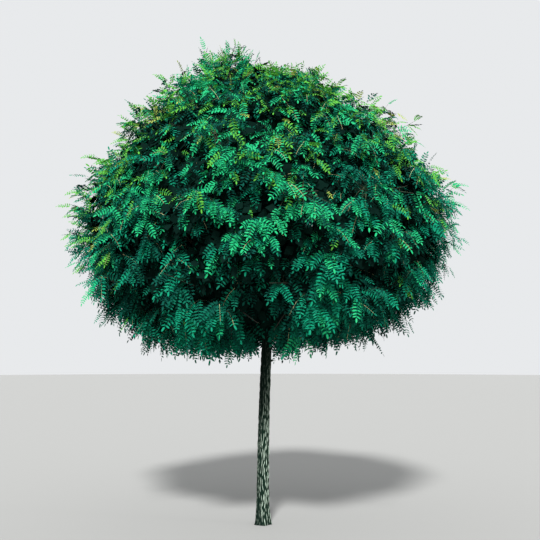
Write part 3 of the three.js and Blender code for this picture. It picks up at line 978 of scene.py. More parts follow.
class LeafSettings(bpy.types.PropertyGroup):
    """The compound leaves."""

    leaves_per_shoot: whole_number(4, 1, 20, "Leaves on a shoot", "Number of outer leaves on each shoot")
    hidden_leaves: whole_number(
        4, 0, 20, "Leaves behind", "Number of darker leaves on each shoot behind the outer ones"
    )
    shade_leaves: whole_number(
        36, 0, 60, "Shade leaves on a shoot", "Broad shade leaves tried on each shoot, before thinning"
    )
    twig_leaves: whole_number(
        70, 0, 100, "Shade leaves on a twig", "Broad shade leaves tried on each main twig, before thinning"
    )
    leaflet_length: metres(0.038, 0.01, 0.1, "Leaflet length", "Length of one leaflet")
    leaflet_width: metres(0.0155, 0.005, 0.05, "Leaflet width", "Width of one leaflet")
    leaflet_spacing: metres(
        0.0225, 0.01, 0.08, "Leaflet spacing", "Distance from one pair of leaflets to the next"
    )
    # The greens from deep shade to sunlit are lit and shaded copies of one leaf green, which paint light and
    # shade
    deep_shade_colour: colour("#091c17", "Deep shade", "Colour of the leaves deep inside")
    shade_colour: colour("#0f4439", "Shade", "Colour of shaded leaves")
    mid_colour: colour("#0f5d48", "Middle", "Colour of most leaves")
    fresh_colour: colour("#0e7759", "Fresh", "Colour of fresh leaves")
    bright_colour: colour("#1e9a62", "Bright", "Colour of leaves that face the light")
    sunlit_colour: colour("#4d9636", "Sunlit", "Colour of the yellower leaves high in the sun")
    young_sunlit_colour: colour("#8b9a48", "Young", "Colour of the youngest leaves")
    stalk_colour: colour("#b3b083", "Leaf stalks", "Colour of the leaf stalks")


class StageSettings(bpy.types.PropertyGroup):
    """The floor, the lights and the camera."""

    floor_colour: colour("#949492", "Floor", "Colour of the floor")
    backdrop_colour: colour("#f3f5f7", "Backdrop", "Colour of the light all round")
    backdrop_strength: plain_number(0.9, 0, 10, "Backdrop strength", "Strength of the light all round")
    key_strength: plain_number(5.9, 0, 50, "Key light", "Strength of the soft light from high in front")
    side_strength: plain_number(0.55, 0, 50, "Side light", "Strength of the low light from the right")
    key_softness: degrees(9, 0, 90, "Softness", "Angle that each light fills, which softens its shadows")
    key_azimuth: degrees(
        SUN_AZIMUTH, -180, 180, "Key azimuth", "Turn of the key light from the camera's side to the right"
    )
    key_elevation: degrees(
        SUN_ELEVATION + 2, 0, 90, "Key elevation", "Height of the key light over the floor, as an angle"
    )
    eye_height: metres(1.6, 0, 10, "Eye height", "Height of the camera")
    eye_distance: metres(7.14, 1, 50, "Distance", "Distance from the camera to the middle of the tree")
    eye_aside: metres(0.0686, -10, 10, "Aside", "Camera's place to the right of the tree")
    frame_rise: plain_number(
        0.159, -0.5, 0.5, "Frame rise", "How far the level picture is moved up, as a share of its width"
    )


# Tints of the leaf pieces, in the order of their materials
DEEP_SHADE_TINT, SHADE_TINT, MID_TINT, HALF_LIT_TINT, BRIGHT_TINT, SUNLIT_TINT, YOUNG_SUNLIT_TINT, STALK_TINT = range(8)


LEAF_IOR = 1.42

# Roughness and shine of the leaf blades' greens and of the stalks, in the order of their tints
LEAF_FINISHES = {
    "deep_shade": ("deep_shade_colour", 0.70, 0.0),
    "shade": ("shade_colour", 0.60, 0.0),
    "middle": ("mid_colour", 0.50, 0.02),
    "fresh": ("fresh_colour", 0.46, 0.03),
    "bright": ("bright_colour", 0.44, 0.06),
    "sunlit": ("sunlit_colour", 0.48, 0.06),
    "young": ("young_sunlit_colour", 0.50, 0.06),
    "stalk": ("stalk_colour", 0.60, 0.05),
}


def leaf_materials(settings):
    """Leaf blades are thin and waxed: a soft gloss over a plain green, dealt out by spray. The greens are lit
    and shaded copies that paint light and shade.
    """
    materials = []
    for name, (green, roughness, shine) in LEAF_FINISHES.items():
        surface = {"Base Color": opaque(getattr(settings, green)), "Roughness": roughness}
        surface.update({"IOR": LEAF_IOR, "Specular IOR Level": shine})
        materials.append(new_material("locust_leaf_" + name, surface))
    return materials


# Operators

# The bark's ridges: the height where their number is worked out, how far they sway and drift off a straight
# line, as a share of their spacing, with the shortest and longest wave in metres, and how long the plates
# are that they are broken into
MEASURED_AT = 1.0
FEWEST_RIDGES = 5
RIDGE_SWAY = 0.15
SWAY_WAVES = (0.10, 0.22)
RIDGE_DRIFT = 0.38
DRIFT_WAVES = (0.3, 0.7)
SHORT_PLATES = (0.05, 0.10)
LONG_PLATES = (0.12, 0.24)
LONG_PLATE_SHARE = 0.8
PLATE_MIDDLE = 0.66
PLATE_SWING = 0.34
LOWEST_PLATE = 0.10
RIDGE_STRENGTH = (0.75, 1.2)
RIDGE_LEVEL = 0.55
RIDGE_LOST_UPWARDS = 0.35

# Unevenness under the ridges, in metres
ROUGHNESS = 0.0012
HEAD_KNOBS = 0.006
DOME_KNOBS = 0.005
DOME_KNOB_HEIGHT = 0.004

# Painted shade darkens the trunk's left side, a green film and painted shade darken its top, and it is darker
# at its foot. Lengths are metres
PAINTED_SHADE_LEFT = 0.62
PAINTED_SHADE_LEFT_FROM = 0.42
PAINTED_SHADE_LEFT_WIDTH = 0.065
FILM_AND_SHADE_TOP = 0.95
FILM_AND_SHADE_TOP_FROM = 0.80
FILM_AND_SHADE_TOP_SPAN = 0.95
FILM_AND_SHADE_TOP_POWER = 1.1
DARKER_FOOT = 0.40
DARKER_FOOT_HEIGHT = 0.12
FILM_AND_SHADE_SPECKLE = 0.15
FILM_AND_SHADE_LIMITS = (0.02, 0.97)
STUB_FILM_AND_SHADE = 0.85

# How pale bark is where it has no such ridges, from 0 in a furrow to 1 on a crest
MIDDLE_SHADE = 0.5
SHADE_SWING = 0.3
SOLE_SHADE = 0.3
HEAD_SHADE = 0.6
STUB_SHADE = 0.35
STUB_RIM_SHADE = 0.8
STUB_CUT_SHADE = 1.0


class LOCUST_OT_trunk(bpy.types.Operator):
    """Builds the trunk with its ridged bark, its graft head and its pruned stub"""

    bl_idname = "locust.trunk"
    bl_label = "Trunk"

    columns = 180
    rows = 250
    dome_rows = 12
    stub_sides = 14
    stub_rings = 9

    def head_share(self, z):
        """0 under the graft head, and 1 at its widest ring."""
        return rise(z, GRAFT_HEIGHT - GRAFT_NECK, GRAFT_NECK)

    def radius_at(self, z, turn):
        taper = TRUNK_TOP_RADIUS + TRUNK_TAPER * (GRAFT_HEIGHT - z)
        toes = 1 + ROOT_TOE_SHARE * np.cos(ROOT_TOES * turn + ROOT_TOE_TURN)
        flare = FLARE_REACH * toes * np.exp(-z / FLARE_HEIGHT)
        swelling = (GRAFT_RADIUS - TRUNK_TOP_RADIUS) * np.sin(self.head_share(z) * math.pi / 2) ** 2
        return taper + flare + swelling

    def ridge_field(self, settings, turn, z, random):
        """Short broken ridges that run up the trunk in wavering lines: 0 in the furrows, 1 on the crests."""

        def wave(waves):
            return np.sin(2 * math.pi * z / random.uniform(*waves) + random.uniform(0, 6))

        mean_radius = float(self.radius_at(MEASURED_AT, 0.0))
        lines = max(FEWEST_RIDGES, round(2 * math.pi * mean_radius / settings.ridge_spacing))
        spacing = 2 * math.pi / lines
        best = np.zeros(turn.shape)
        for k in range(lines):
            sway = RIDGE_SWAY * spacing * wave(SWAY_WAVES)
            drift = RIDGE_DRIFT * spacing * wave(DRIFT_WAVES)
            off = (turn - spacing * k - sway - drift + math.pi) % (2 * math.pi) - math.pi
            crest = np.exp(-((off * mean_radius / settings.ridge_width) ** 2))
            plates = wave(SHORT_PLATES) + LONG_PLATE_SHARE * wave(LONG_PLATES)
            plates = np.clip(PLATE_MIDDLE + PLATE_SWING * plates, LOWEST_PLATE, 1)
            best = np.maximum(best, crest * random.uniform(*RIDGE_STRENGTH) * plates)
        return best

    def bark_material(self, settings):
        """Weathered young locust bark: matt grey-tan ridges over dark furrows, with painted shade on its left
        side, and greener and darker towards the top from a green film and painted shade.
        """

        def build(tree):
            # Corky grain up the stem, 8 mm across and 25 mm long: coarser than life, so that it shows
            links = bark_pattern(
                tree, grain_scale=(125, 125, 40), grain={"Detail": 4.0, "Roughness": 0.6}, weight=0.8,
                dark=(0.62, settings.furrow_colour), pale=(1.0, settings.ridge_colour),
                bump={"Strength": 0.5, "Distance": 0.0015},
            )
            # The field read here mixes in the dark green of the green film and of the painted shade on the
            # left side and top
            film = add_node(tree, "ShaderNodeAttribute", {"attribute_name": "film"})
            sources = {"Factor": film.outputs["Fac"], 6: links["Base Color"]}
            green = {7: opaque(settings.shaded_colour)}
            mixed = add_node(tree, "ShaderNodeMix", {"data_type": "RGBA"}, sources, green)
            return {**links, "Base Color": mixed.outputs[2]}

        surface = {"Roughness": 0.88, "IOR": BARK_IOR, "Specular IOR Level": 0.1}
        return new_material("locust_bark_ridged", surface, build)

    def execute(self, context):
        settings = context.scene.locust_trunk
        random = np.random.RandomState(SEED + 1)
        rings, ridge = self.surface(settings, random)
        count = len(rings) * self.columns
        top = [TRUNK_LEAN, 0, GRAFT_HEIGHT + GRAFT_RISE]
        points = np.concatenate([rings.reshape(-1, 3), [[0, 0, 0], top]])
        ridge = np.concatenate([ridge.ravel(), [SOLE_SHADE, HEAD_SHADE]])
        film = self.darkening_field(points, random)
        stub_points, stub_quads, stub_cap, stub_ridge = self.stub(random)
        polygons = [
            ring_quads(len(rings), self.columns).reshape(-1, 4),
            stub_quads + len(points),
            fan(0, self.columns, count)[:, [1, 0, 2]],
            fan(count - self.columns, self.columns, count + 1),
            stub_cap + len(points),
        ]
        points = np.concatenate([points, stub_points])
        piece = add_piece("trunk_bark", points, polygons, [self.bark_material(settings)], smooth=True)
        add_field(piece, "ridge", np.concatenate([ridge, stub_ridge]))
        add_field(piece, "film", np.concatenate([film, np.full(len(stub_points), STUB_FILM_AND_SHADE)]))
        seat_piece(piece, "stem_bark", "trunk")
        return {"FINISHED"}

    def surface(self, settings, random):
        """Rings of points from the foot to the top of the head's dome, and the ridges on them."""
        around = ring_angles(self.columns)
        turn, z = np.meshgrid(around, np.linspace(0, GRAFT_HEIGHT, self.rows))
        ridge = self.ridge_field(settings, turn, z, random)
        rough = gentle_waves(turn, z, random, turns=9, per_metre=14, count=30)
        knobs = gentle_waves(turn, z, random, turns=4, per_metre=7, count=12)
        depth = settings.ridge_depth * (1 - RIDGE_LOST_UPWARDS * z / GRAFT_HEIGHT)
        relief = depth * (ridge - RIDGE_LEVEL) + ROUGHNESS * rough + HEAD_KNOBS * self.head_share(z) * knobs
        radius = self.radius_at(z, turn) + relief
        centre = TRUNK_LEAN * (z / GRAFT_HEIGHT) ** TRUNK_LEAN_POWER
        shell = np.stack([centre + radius * np.cos(turn), radius * np.sin(turn), z], axis=-1)

        # The head's dome closes over the last ring
        turn, lift = np.meshgrid(around, np.linspace(0, math.pi / 2, self.dome_rows + 1)[1:-1])
        knobs = gentle_waves(turn, lift, random, turns=4, per_metre=0.6, count=12) * np.sin(2 * lift)
        radius = radius[-1][None, :] * np.cos(lift) + DOME_KNOBS * knobs
        z = GRAFT_HEIGHT + (GRAFT_RISE + DOME_KNOB_HEIGHT * knobs) * np.sin(lift)
        dome = np.stack([TRUNK_LEAN + radius * np.cos(turn), radius * np.sin(turn), z], axis=-1)
        return np.concatenate([shell, dome]), np.concatenate([ridge, MIDDLE_SHADE + SHADE_SWING * knobs])

    # Painted shade on the left side, a green film and painted shade at the top, and a darker foot
    def darkening_field(self, points, random):
        x = points[:, 0] - TRUNK_LEAN * (points[:, 2] / GRAFT_HEIGHT) ** 2
        z = points[:, 2]
        film = PAINTED_SHADE_LEFT * np.clip(PAINTED_SHADE_LEFT_FROM - x / PAINTED_SHADE_LEFT_WIDTH, 0, 1)
        film = film + FILM_AND_SHADE_TOP * rise(z, FILM_AND_SHADE_TOP_FROM, FILM_AND_SHADE_TOP_SPAN) ** FILM_AND_SHADE_TOP_POWER
        film = film + DARKER_FOOT * np.exp(-z / DARKER_FOOT_HEIGHT)
        return np.clip(film + FILM_AND_SHADE_SPECKLE * random.normal(0, 1, len(points)), *FILM_AND_SHADE_LIMITS)

    def stub(self, random):
        """What is left of a small pruned side branch, with a paler cut end."""
        foot = trunk_centre(STUB_HEIGHT)
        lean = math.radians(STUB_LEAN)
        way = np.array([math.sin(lean), 0.0, math.cos(lean)])
        reach = float(self.radius_at(STUB_HEIGHT, 0.0)) + STUB_REACH
        shares = np.linspace(STUB_ROOT_SHARE, 1, self.stub_rings)
        curve = foot + way * (shares * reach)[:, None]
        taper = STUB_TAPER * (shares - STUB_ROOT_SHARE) / (1 - STUB_ROOT_SHARE)
        radii = STUB_RADIUS * (STUB_FOOT_WIDER - taper)
        sides = self.stub_sides
        relief = ROUGHNESS * random.uniform(-1, 1, (1, len(shares), sides))
        points, quads = tubes(curve[None], radii[None], sides, relief)
        middle = len(points)
        points = np.concatenate([points, [foot + way * (reach + STUB_END_RISE)]])
        rim = middle - sides
        ridge = np.concatenate([np.full(rim, STUB_SHADE), np.full(sides, STUB_RIM_SHADE), [STUB_CUT_SHADE]])
        return points, quads, fan(rim, sides, middle), ridge


class LOCUST_OT_boughs(bpy.types.Operator):
    """Builds the leader, the upper and spreading boughs and the skirt limbs with young bark"""

    bl_idname = "locust.boughs"
    bl_label = "Boughs"

    sides = 14
    collar = 0.35
    collar_share = 0.05

    def bark_material(self, settings):
        """Young locust bark: smooth, dull and brown-green, with low ribs and fine cracks."""

        def build(tree):
            # Fine cracks about 8 mm apart, coarser than life so that they show
            return bark_pattern(
                tree, grain_scale=(120, 120, 120), grain={"Detail": 3.0}, weight=0.7,
                dark=(0.3, settings.crack_colour), pale=(1.0, settings.rib_colour),
                bump={"Strength": 0.4, "Distance": 0.001},
            )

        surface = {"Roughness": 0.8, "IOR": BARK_IOR, "Specular IOR Level": 0.25}
        return new_material("locust_bark_young", surface, build)

    def execute(self, context):
        settings = context.scene.locust_boughs
        material = self.bark_material(settings)
        random = np.random.RandomState(SEED + 2)
        around = ring_angles(self.sides)
        for mass in grown_tree():
            curve = mass.limb
            share = np.linspace(0, 1, len(curve))
            radii = mass.limb_radius * (1 + (LIMB_TIP_SHARE - 1) * share)
            radii = radii * (1 + self.collar * np.exp(-share / self.collar_share))
            run = np.linalg.norm(np.diff(curve, axis=0), axis=1).sum() * share
            ribs = gentle_waves(around[None, :], run[:, None], random, turns=6, per_metre=9, count=20)
            relief = settings.relief * ribs * (radii / mass.limb_radius)[:, None]
            points, quads = tubes(curve[None], radii[None], self.sides, relief[None])
            tip = fan(len(points) - self.sides, self.sides, len(points))
            points = np.concatenate([points, [curve[-1]]])
            piece = add_piece(mass.limb_name + "_bark", points, [quads, tip], [material], smooth=True)
            shade = MIDDLE_SHADE + SHADE_SWING * ribs.ravel()
            add_field(piece, "ridge", np.concatenate([shade, [MIDDLE_SHADE]]))
            seat_piece(piece, "limb_bark", mass.limb_name)
        return {"FINISHED"}


class LOCUST_OT_twigs(bpy.types.Operator):
    """Builds the stems and main twigs of all masses, and the leafy shoots that they carry"""

    bl_idname = "locust.twigs"
    bl_label = "Twigs"

    stem_sides = 6
    twig_sides = 5
    shoot_sides = 3
    twig_points = 7
    twig_sway = 0.02
    twig_tip = 0.3
    shoot_tip = 0.35

    def execute(self, context):
        settings = context.scene.locust_twigs
        masses = grown_tree()
        shoots = crown_shoots(masses, settings)

        # Two-year twigs are dull and brown-green, this year's shoots smooth, thin-skinned and yellow-green
        twig_surface = {"Base Color": opaque(settings.twig_colour), "Roughness": 0.75, "IOR": BARK_IOR}
        shoot_surface = {"Base Color": opaque(settings.shoot_colour), "Roughness": 0.6, "IOR": BARK_IOR}
        twig_bark = new_material("locust_twig_bark", twig_surface)
        shoot_bark = new_material("locust_shoot_bark", shoot_surface)

        twig_radius = settings.twig_thickness / 2
        stems = np.array([mass.stem for mass in masses])
        tip_radii = np.array([mass.limb_radius * LIMB_TIP_SHARE for mass in masses])[:, None]
        stem_radii = twig_radius + (tip_radii - twig_radius) * np.linspace(1, 0, stems.shape[1])[None, :]
        stem_points, stem_quads = tubes(stems, stem_radii, self.stem_sides)
        twigs = twig_curves(masses, self.twig_points)
        random = np.random.RandomState(SEED + 3)
        sway = np.sin(np.linspace(0, math.pi, self.twig_points))[None, :, None]
        twigs = twigs + sway * random.normal(0, self.twig_sway, (len(twigs), 1, 3))
        twig_points, twig_quads = self.tapering_tubes(twigs, twig_radius, self.twig_tip, self.twig_sides)
        points = np.concatenate([stem_points, twig_points])
        quads = np.concatenate([stem_quads, twig_quads + len(stem_points)])
        seat_piece(add_piece("main_twigs", points, [quads], [twig_bark], smooth=True), "limb_bark")

        shoot_radius = settings.shoot_thickness / 2
        points, quads = self.tapering_tubes(shoots.curves, shoot_radius, self.shoot_tip, self.shoot_sides)
        seat_piece(add_piece("leafy_shoots", points, [quads], [shoot_bark], smooth=True), "limb_bark")
        return {"FINISHED"}

    def tapering_tubes(self, curves, radius, tip_share, sides):
        radii = radius * np.linspace(1, tip_share, curves.shape[1])
        return tubes(curves, np.broadcast_to(radii, curves.shape[:2]), sides)


# Painted light and shade on the leaves: a score from how far out they stand and face the light, less in
# hollows, low down and at both sides, where shade is painted, with some chance for each shoot and leaf. The
# shares part the scores into tints
TINT_SUN = (-12, 30)
TINT_OUT_FROM = 0.66
TINT_OUT_SPAN = 0.26
TINT_MOST_OUT = 1.2
TINT_LIT = 0.34
TINT_LEAST_LIT = -0.3
TINT_SHOOT_SPREAD = 0.22
TINT_LEAF_SPREAD = 0.16
TINT_HOLLOW_SHADE = 3.0
TINT_LOW_SHADE = 0.35
TINT_LOW_SPAN = 0.5
TINT_SIDE_SHADE = 0.45
TINT_SHARES = [0.04, 0.18, 0.45, 0.78]

# Chances of a sunlit leaf, painted yellower, and of a young leaf, whose tint also paints sunlight:
# everywhere, more in the upper crown, most at the sunny places
UPPER_SPAN = 0.3
YELLOWER = (0.01, 0.18, 0.6)
YOUNG_IN_SUN = (0.0, 0.05, 0.2)
YOUNG_FROM = 0.9

# Pairs of leaflets: more low down, fewer high up
PAIRS = 5.6
PAIRS_LOW = 1.3
PAIRS_HIGH = 1.2
PAIRS_SPREAD = 0.6
FEWEST_PAIRS = 4
MOST_PAIRS = 8

# Where leaves sit on a shoot or a main twig, from its root at 0 to its tip at 1, and how their headings vary
OUTER_SEATS = (0.66, 1.0)
BEHIND_SEATS = (0.52, 0.90)
SHADE_SEATS = (0.25, 0.92)
TWIG_SEATS = (0.02, 0.98)
HEADING_SPREAD = 0.25
SHADE_HEADING_SPREAD = 0.3
TWIG_HEADING_SPREAD = 0.7

# Shares of the leaves that are left out lowest down
OUTER_THINNED = 0.3
BEHIND_THINNED = 0.6

# Leaves behind turn back a little. Their tints paint shade: paler in the sun, and darker high up and in
# hollows
BEHIND_TURNED_BACK = 0.35
BEHIND_SHADE_HIGH = 0.25
BEHIND_SUNLIGHT = 0.6
BEHIND_SHADE_DEEP = 2.2
BEHIND_TINT_LIMITS = [0.22, 0.78]

# Broad shade leaves turn back a little, start behind their shoot's tip and face more to the side than up
SHADE_TURNED_BACK = 0.30
SHADE_BEHIND_TIP = 0.01
SHADE_OUTERMOST = (0.72, 0.86)
SHADE_OUTERMOST_HIGH = 0.08
SHADE_FLATTENING = np.array([1.0, 1.0, 0.45])
SHADE_FACE_SPREAD = 0.28

# How far out they may start and end, less low down and where the outline falls in, and more at the peak.
# They are thinned to a few in each cell of directions, in degrees
SHADE_LIMIT = 0.85
SHADE_LIMIT_LOW = 0.17
SHADE_LIMIT_PEAK = 0.07
SHADE_LIMIT_CHANGE = 1.5
SHADE_TIP_BEYOND = 0.04
SHADE_INNER_LIMIT = 0.79
SHADE_REACH = 0.73
SHADE_CELL = 5.0
SHADE_IN_CELL = 8
PEAK_FROM = 0.84
PEAK_SPAN = 0.1


class LOCUST_OT_leaves(bpy.types.Operator):
    """Builds the compound leaves on the shoots, in six pieces, each in place of its masses of foliage"""

    bl_idname = "locust.leaves"
    bl_label = "Leaves"

    def tint(self, leaves, shoots):
        """Deals the plain greens out by spray as painted light and shade: paler to the outside and the light,
        darker in hollows.
        """
        random = shoots.random
        count = len(leaves.seat)
        x, z = leaves.outward[:, 0], leaves.outward[:, 2]
        out = np.clip((leaves.reach - TINT_OUT_FROM) / TINT_OUT_SPAN, 0, TINT_MOST_OUT)
        lit = np.clip(leaves.outward @ direction_at(*TINT_SUN), TINT_LEAST_LIT, 1)
        by_shoot = random.normal(0, TINT_SHOOT_SPREAD, len(shoots.curves))[leaves.shoot]
        score = out + TINT_LIT * lit + by_shoot + random.normal(0, TINT_LEAF_SPREAD, count)
        score = score - TINT_HOLLOW_SHADE * shoots.depth[leaves.shoot]
        score = score - TINT_LOW_SHADE * rise(-z, 0, TINT_LOW_SPAN) - TINT_SIDE_SHADE * x**2
        tint = np.digitize(score, np.quantile(score, TINT_SHARES))
        upper = rise(z, 0, UPPER_SPAN)
        sunny = nearness(leaves.outward, SUNNY_PLACES)

        def happens(chances):
            anywhere, more_upper, more_sunny = chances
            return random.uniform(0, 1, count) < anywhere + more_upper * upper + more_sunny * sunny

        # The sunlit and young tints paint sunlight, most at the sunny places
        tint = np.where((tint >= HALF_LIT_TINT) & happens(YELLOWER), SUNLIT_TINT, tint)
        young = (tint >= HALF_LIT_TINT) & (leaves.along > YOUNG_FROM) & happens(YOUNG_IN_SUN)
        return np.where(young, YOUNG_SUNLIT_TINT, tint)

    def outer_leaves(self, settings, shoots):
        """Leaves near the shoots' tips, a few fewer low down."""
        leaves = leaf_seats(shoots, *OUTER_SEATS, settings.leaves_per_shoot, HEADING_SPREAD)
        drawn = shoots.random.uniform(0, 1, len(leaves.seat))
        leaves = chosen(leaves, drawn > OUTER_THINNED * shoots.low[leaves.shoot] ** 2)
        leaves.tint = self.tint(leaves, shoots)
        return leaves

    def leaves_behind(self, settings, shoots):
        """Darker leaves behind the outer ones, in painted shade: darkest in hollows and paler at the sunny
        places.
        """
        random = shoots.random
        leaves = leaf_seats(shoots, *BEHIND_SEATS, settings.hidden_leaves, HEADING_SPREAD)
        drawn = random.uniform(0, 1, len(leaves.seat))
        leaves = chosen(leaves, drawn > BEHIND_THINNED * shoots.low[leaves.shoot])
        leaves.heading = unit(leaves.heading - BEHIND_TURNED_BACK * leaves.outward)
        # The tints of the leaves behind paint shade
        light = random.uniform(0, 1, len(leaves.seat)) - BEHIND_SHADE_HIGH * shoots.high[leaves.shoot]
        light = light + BEHIND_SUNLIGHT * nearness(leaves.outward, SUNNY_PLACES)
        light = light - BEHIND_SHADE_DEEP * shoots.depth[leaves.shoot]
        leaves.tint = np.digitize(light, BEHIND_TINT_LIMITS)
        return leaves

    def peak(self, leaves):
        """1 for leaves under the crown's peak, 0 away from it."""
        return rise(leaves.outward[:, 2], PEAK_FROM, PEAK_SPAN)

    def shade_leaves(self, settings, shoots, masses):
        """Broad leaves deep inside, painted in the darkest shade green, which keep the sky from showing
        through the crown.
        """
        random = shoots.random
        leaves = leaf_seats(shoots, *SHADE_SEATS, settings.shade_leaves, SHADE_HEADING_SPREAD)
        leaves.heading = unit(leaves.heading - SHADE_TURNED_BACK * leaves.outward)
        least, most = SHADE_OUTERMOST
        furthest = np.clip(shoots.share - SHADE_BEHIND_TIP, least, most + SHADE_OUTERMOST_HIGH * shoots.high)
        leaves = chosen(leaves, leaves.reach < furthest[leaves.shoot])
        carriers = twig_carriers(masses, random)
        inner = leaf_seats(carriers, *TWIG_SEATS, settings.twig_leaves, TWIG_HEADING_SPREAD)
        leaves = joined(leaves, chosen(inner, inner.reach < SHADE_INNER_LIMIT))

        limit = SHADE_LIMIT - SHADE_LIMIT_LOW * rise(-leaves.outward[:, 2], 0, LOW_SPAN)
        limit = limit + SHADE_LIMIT_PEAK * self.peak(leaves)
        limit = limit + SHADE_LIMIT_CHANGE * np.minimum(outline_change(leaves.outward), 0)
        tip_reach = share_of_reach(leaves.seat + leaves.heading * SHADE_LEAF_LENGTH)
        leaves = chosen(leaves, (leaves.reach < limit) & (tip_reach < limit + SHADE_TIP_BEYOND))
        peak = self.peak(leaves)
        wanted = SHADE_REACH + SHADE_LIMIT_PEAK * peak
        leaves = evenly_dealt(leaves, wanted, SHADE_CELL, SHADE_IN_CELL * (1 + peak), random)
        # Every broad shade leaf takes the darkest green, painted deep shade
        leaves.tint = np.full(len(leaves.seat), DEEP_SHADE_TINT)
        turned = random.normal(0, SHADE_FACE_SPREAD, leaves.facing.shape)
        leaves.facing = unit(leaves.outward * SHADE_FLATTENING + turned)
        return leaves

    def count_pairs(self, leaves, shoots):
        pairs = PAIRS + PAIRS_LOW * shoots.low[leaves.shoot] - PAIRS_HIGH * shoots.high[leaves.shoot]
        pairs = pairs + shoots.random.normal(0, PAIRS_SPREAD, len(leaves.seat))
        leaves.pairs = np.clip(np.round(pairs), FEWEST_PAIRS, MOST_PAIRS).astype(int)

    def execute(self, context):
        settings = context.scene.locust_leaves
        masses = grown_tree()
        shoots = crown_shoots(masses, context.scene.locust_twigs)
        outer = self.outer_leaves(settings, shoots)
        behind = self.leaves_behind(settings, shoots)
        shade = self.shade_leaves(settings, shoots, masses)
        self.count_pairs(outer, shoots)
        self.count_pairs(behind, shoots)
        blade = {
            "length": settings.leaflet_length,
            "width": settings.leaflet_width,
            "spacing": settings.leaflet_spacing,
            **LEAFLET_STAND,
        }
        oval = SimpleNamespace(outline=OVAL_OUTLINE, faces=OVAL_FACES, strip=3, **blade)
        plain = SimpleNamespace(outline=PLAIN_OUTLINE, faces=PLAIN_FACES, strip=2, **blade)
        materials = leaf_materials(settings)
        names = [mass.name for mass in masses]
        for name, nodes in LEAF_PIECES.items():
            owners = [names.index(node) for node in nodes]
            groups = []
            for pairs in range(FEWEST_PAIRS, MOST_PAIRS + 1):
                for leaves, leaflet in ((outer, oval), (behind, plain)):
                    mine = chosen(leaves, np.isin(leaves.owner, owners) & (leaves.pairs == pairs))
                    groups.append(leaf_mesh(mine, pairs, leaflet, shoots.random))
            mine = chosen(shade, np.isin(shade.owner, owners))
            groups.append(leaf_mesh(mine, BROAD_PAIRS, BROAD_LEAFLET, shoots.random))
            points, quads, tints = zip(*groups)
            starts = np.cumsum([0] + [len(group) for group in points])
            quads = np.concatenate([group + start for group, start in zip(quads, starts)])
            piece = add_piece(name, np.concatenate(points), [quads], materials, np.concatenate(tints))
            seat_piece(piece, "foliage", *nodes)
        return {"FINISHED"}


# Stage: sizes in metres, and in millimetres for the lens
FLOOR_RADIUS = 60.0
FLOOR_SIDES = 96
FLOOR_DROP = 0.001
LIGHT_DISTANCE = 12
SIDE_LIGHT = (75, 12)
LENS = 50
SENSOR_WIDTH = 36
FAR_CLIP = 300


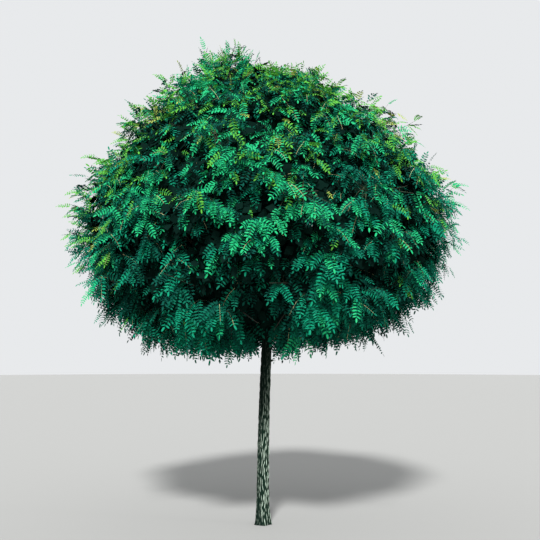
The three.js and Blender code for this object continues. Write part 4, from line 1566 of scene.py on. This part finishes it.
class LOCUST_OT_stage(bpy.types.Operator):
    """Builds the pale floor, the soft lights and the camera"""

    bl_idname = "locust.stage"
    bl_label = "Stage"

    def execute(self, context):
        settings = context.scene.locust_stage
        self.floor(settings)
        self.lights(context, settings)
        self.camera(context, settings)
        context.scene.view_settings.view_transform = "Standard"
        return {"FINISHED"}

    def floor(self, settings):
        """Matt painted concrete, nearly even."""

        def build(tree):
            place = add_node(tree, "ShaderNodeTexCoord")
            # Grit about 17 mm across, coarser than life so that it shows
            sources = {"Vector": place.outputs["Object"]}
            grit = add_node(tree, "ShaderNodeTexNoise", links=sources, values={"Scale": 60.0, "Detail": 2.0})
            sources = {"Height": grit.outputs["Fac"]}
            fine = {"Strength": 0.05, "Distance": 0.002}
            bump = add_node(tree, "ShaderNodeBump", links=sources, values=fine)
            return {"Normal": bump.outputs["Normal"]}

        surface = {"Base Color": opaque(settings.floor_colour), "Roughness": 0.9}
        material = new_material("pale_floor", surface, build)
        turn = ring_angles(FLOOR_SIDES)
        rim = np.stack([FLOOR_RADIUS * np.cos(turn), FLOOR_RADIUS * np.sin(turn), 0 * turn], axis=-1)
        points = np.concatenate([rim, [[0, 0, 0]]]) - UP * FLOOR_DROP
        add_piece("floor", points, [fan(0, FLOOR_SIDES, FLOOR_SIDES)], [material])

    def far_light(self, name, azimuth, elevation, strength, softness):
        lamp = bpy.data.lights.new(name, "SUN")
        lamp.energy = strength
        lamp.angle = softness
        holder = bpy.data.objects.new(name, lamp)
        bpy.context.scene.collection.objects.link(holder)
        towards = Vector(direction_at(azimuth, elevation))
        holder.location = towards * LIGHT_DISTANCE
        holder.rotation_euler = towards.to_track_quat("Z", "Y").to_euler()

    def lights(self, context, settings):
        azimuth = math.degrees(settings.key_azimuth)
        elevation = math.degrees(settings.key_elevation)
        self.far_light("key_light", azimuth, elevation, settings.key_strength, settings.key_softness)
        self.far_light("side_light", *SIDE_LIGHT, settings.side_strength, settings.key_softness)
        world = bpy.data.worlds.new("pale_studio")
        world.use_nodes = True
        tree = world.node_tree
        tree.nodes.clear()
        values = {"Color": opaque(settings.backdrop_colour), "Strength": settings.backdrop_strength}
        backdrop = add_node(tree, "ShaderNodeBackground", values=values)
        add_node(tree, "ShaderNodeOutputWorld", links={"Surface": backdrop.outputs["Background"]})
        context.scene.world = world

    def camera(self, context, settings):
        lens = bpy.data.cameras.new("eye")
        lens.lens = LENS
        lens.sensor_width = SENSOR_WIDTH
        lens.shift_y = settings.frame_rise
        lens.clip_end = FAR_CLIP
        holder = bpy.data.objects.new("eye", lens)
        context.scene.collection.objects.link(holder)
        holder.location = (settings.eye_aside, -settings.eye_distance, settings.eye_height)
        holder.rotation_euler = (math.pi / 2, 0, 0)
        context.scene.camera = holder


OPERATORS = [LOCUST_OT_trunk, LOCUST_OT_boughs, LOCUST_OT_twigs, LOCUST_OT_leaves, LOCUST_OT_stage]


class LOCUST_PT_tree(bpy.types.Panel):
    """Lists the tree's pieces and the stage"""

    bl_idname = "LOCUST_PT_tree"
    bl_label = "Globe black locust"
    bl_space_type = "VIEW_3D"
    bl_region_type = "UI"
    bl_category = "Locust"

    def draw(self, context):
        for operator in OPERATORS:
            self.layout.operator(operator.bl_idname)


SETTINGS = {
    "locust_trunk": TrunkSettings,
    "locust_boughs": BoughSettings,
    "locust_twigs": TwigSettings,
    "locust_leaves": LeafSettings,
    "locust_stage": StageSettings,
}


def register():
    for name, group in SETTINGS.items():
        bpy.utils.register_class(group)
        setattr(bpy.types.Scene, name, bpy.props.PointerProperty(type=group))
    for operator in OPERATORS:
        bpy.utils.register_class(operator)
    bpy.utils.register_class(LOCUST_PT_tree)


def unregister():
    bpy.utils.unregister_class(LOCUST_PT_tree)
    for operator in reversed(OPERATORS):
        bpy.utils.unregister_class(operator)
    for name, group in reversed(SETTINGS.items()):
        delattr(bpy.types.Scene, name)
        bpy.utils.unregister_class(group)


def main():
    register()
    bpy.ops.locust.trunk()
    bpy.ops.locust.boughs()
    bpy.ops.locust.twigs()
    bpy.ops.locust.leaves()
    bpy.ops.locust.stage()


if __name__ == "__main__":
    main()
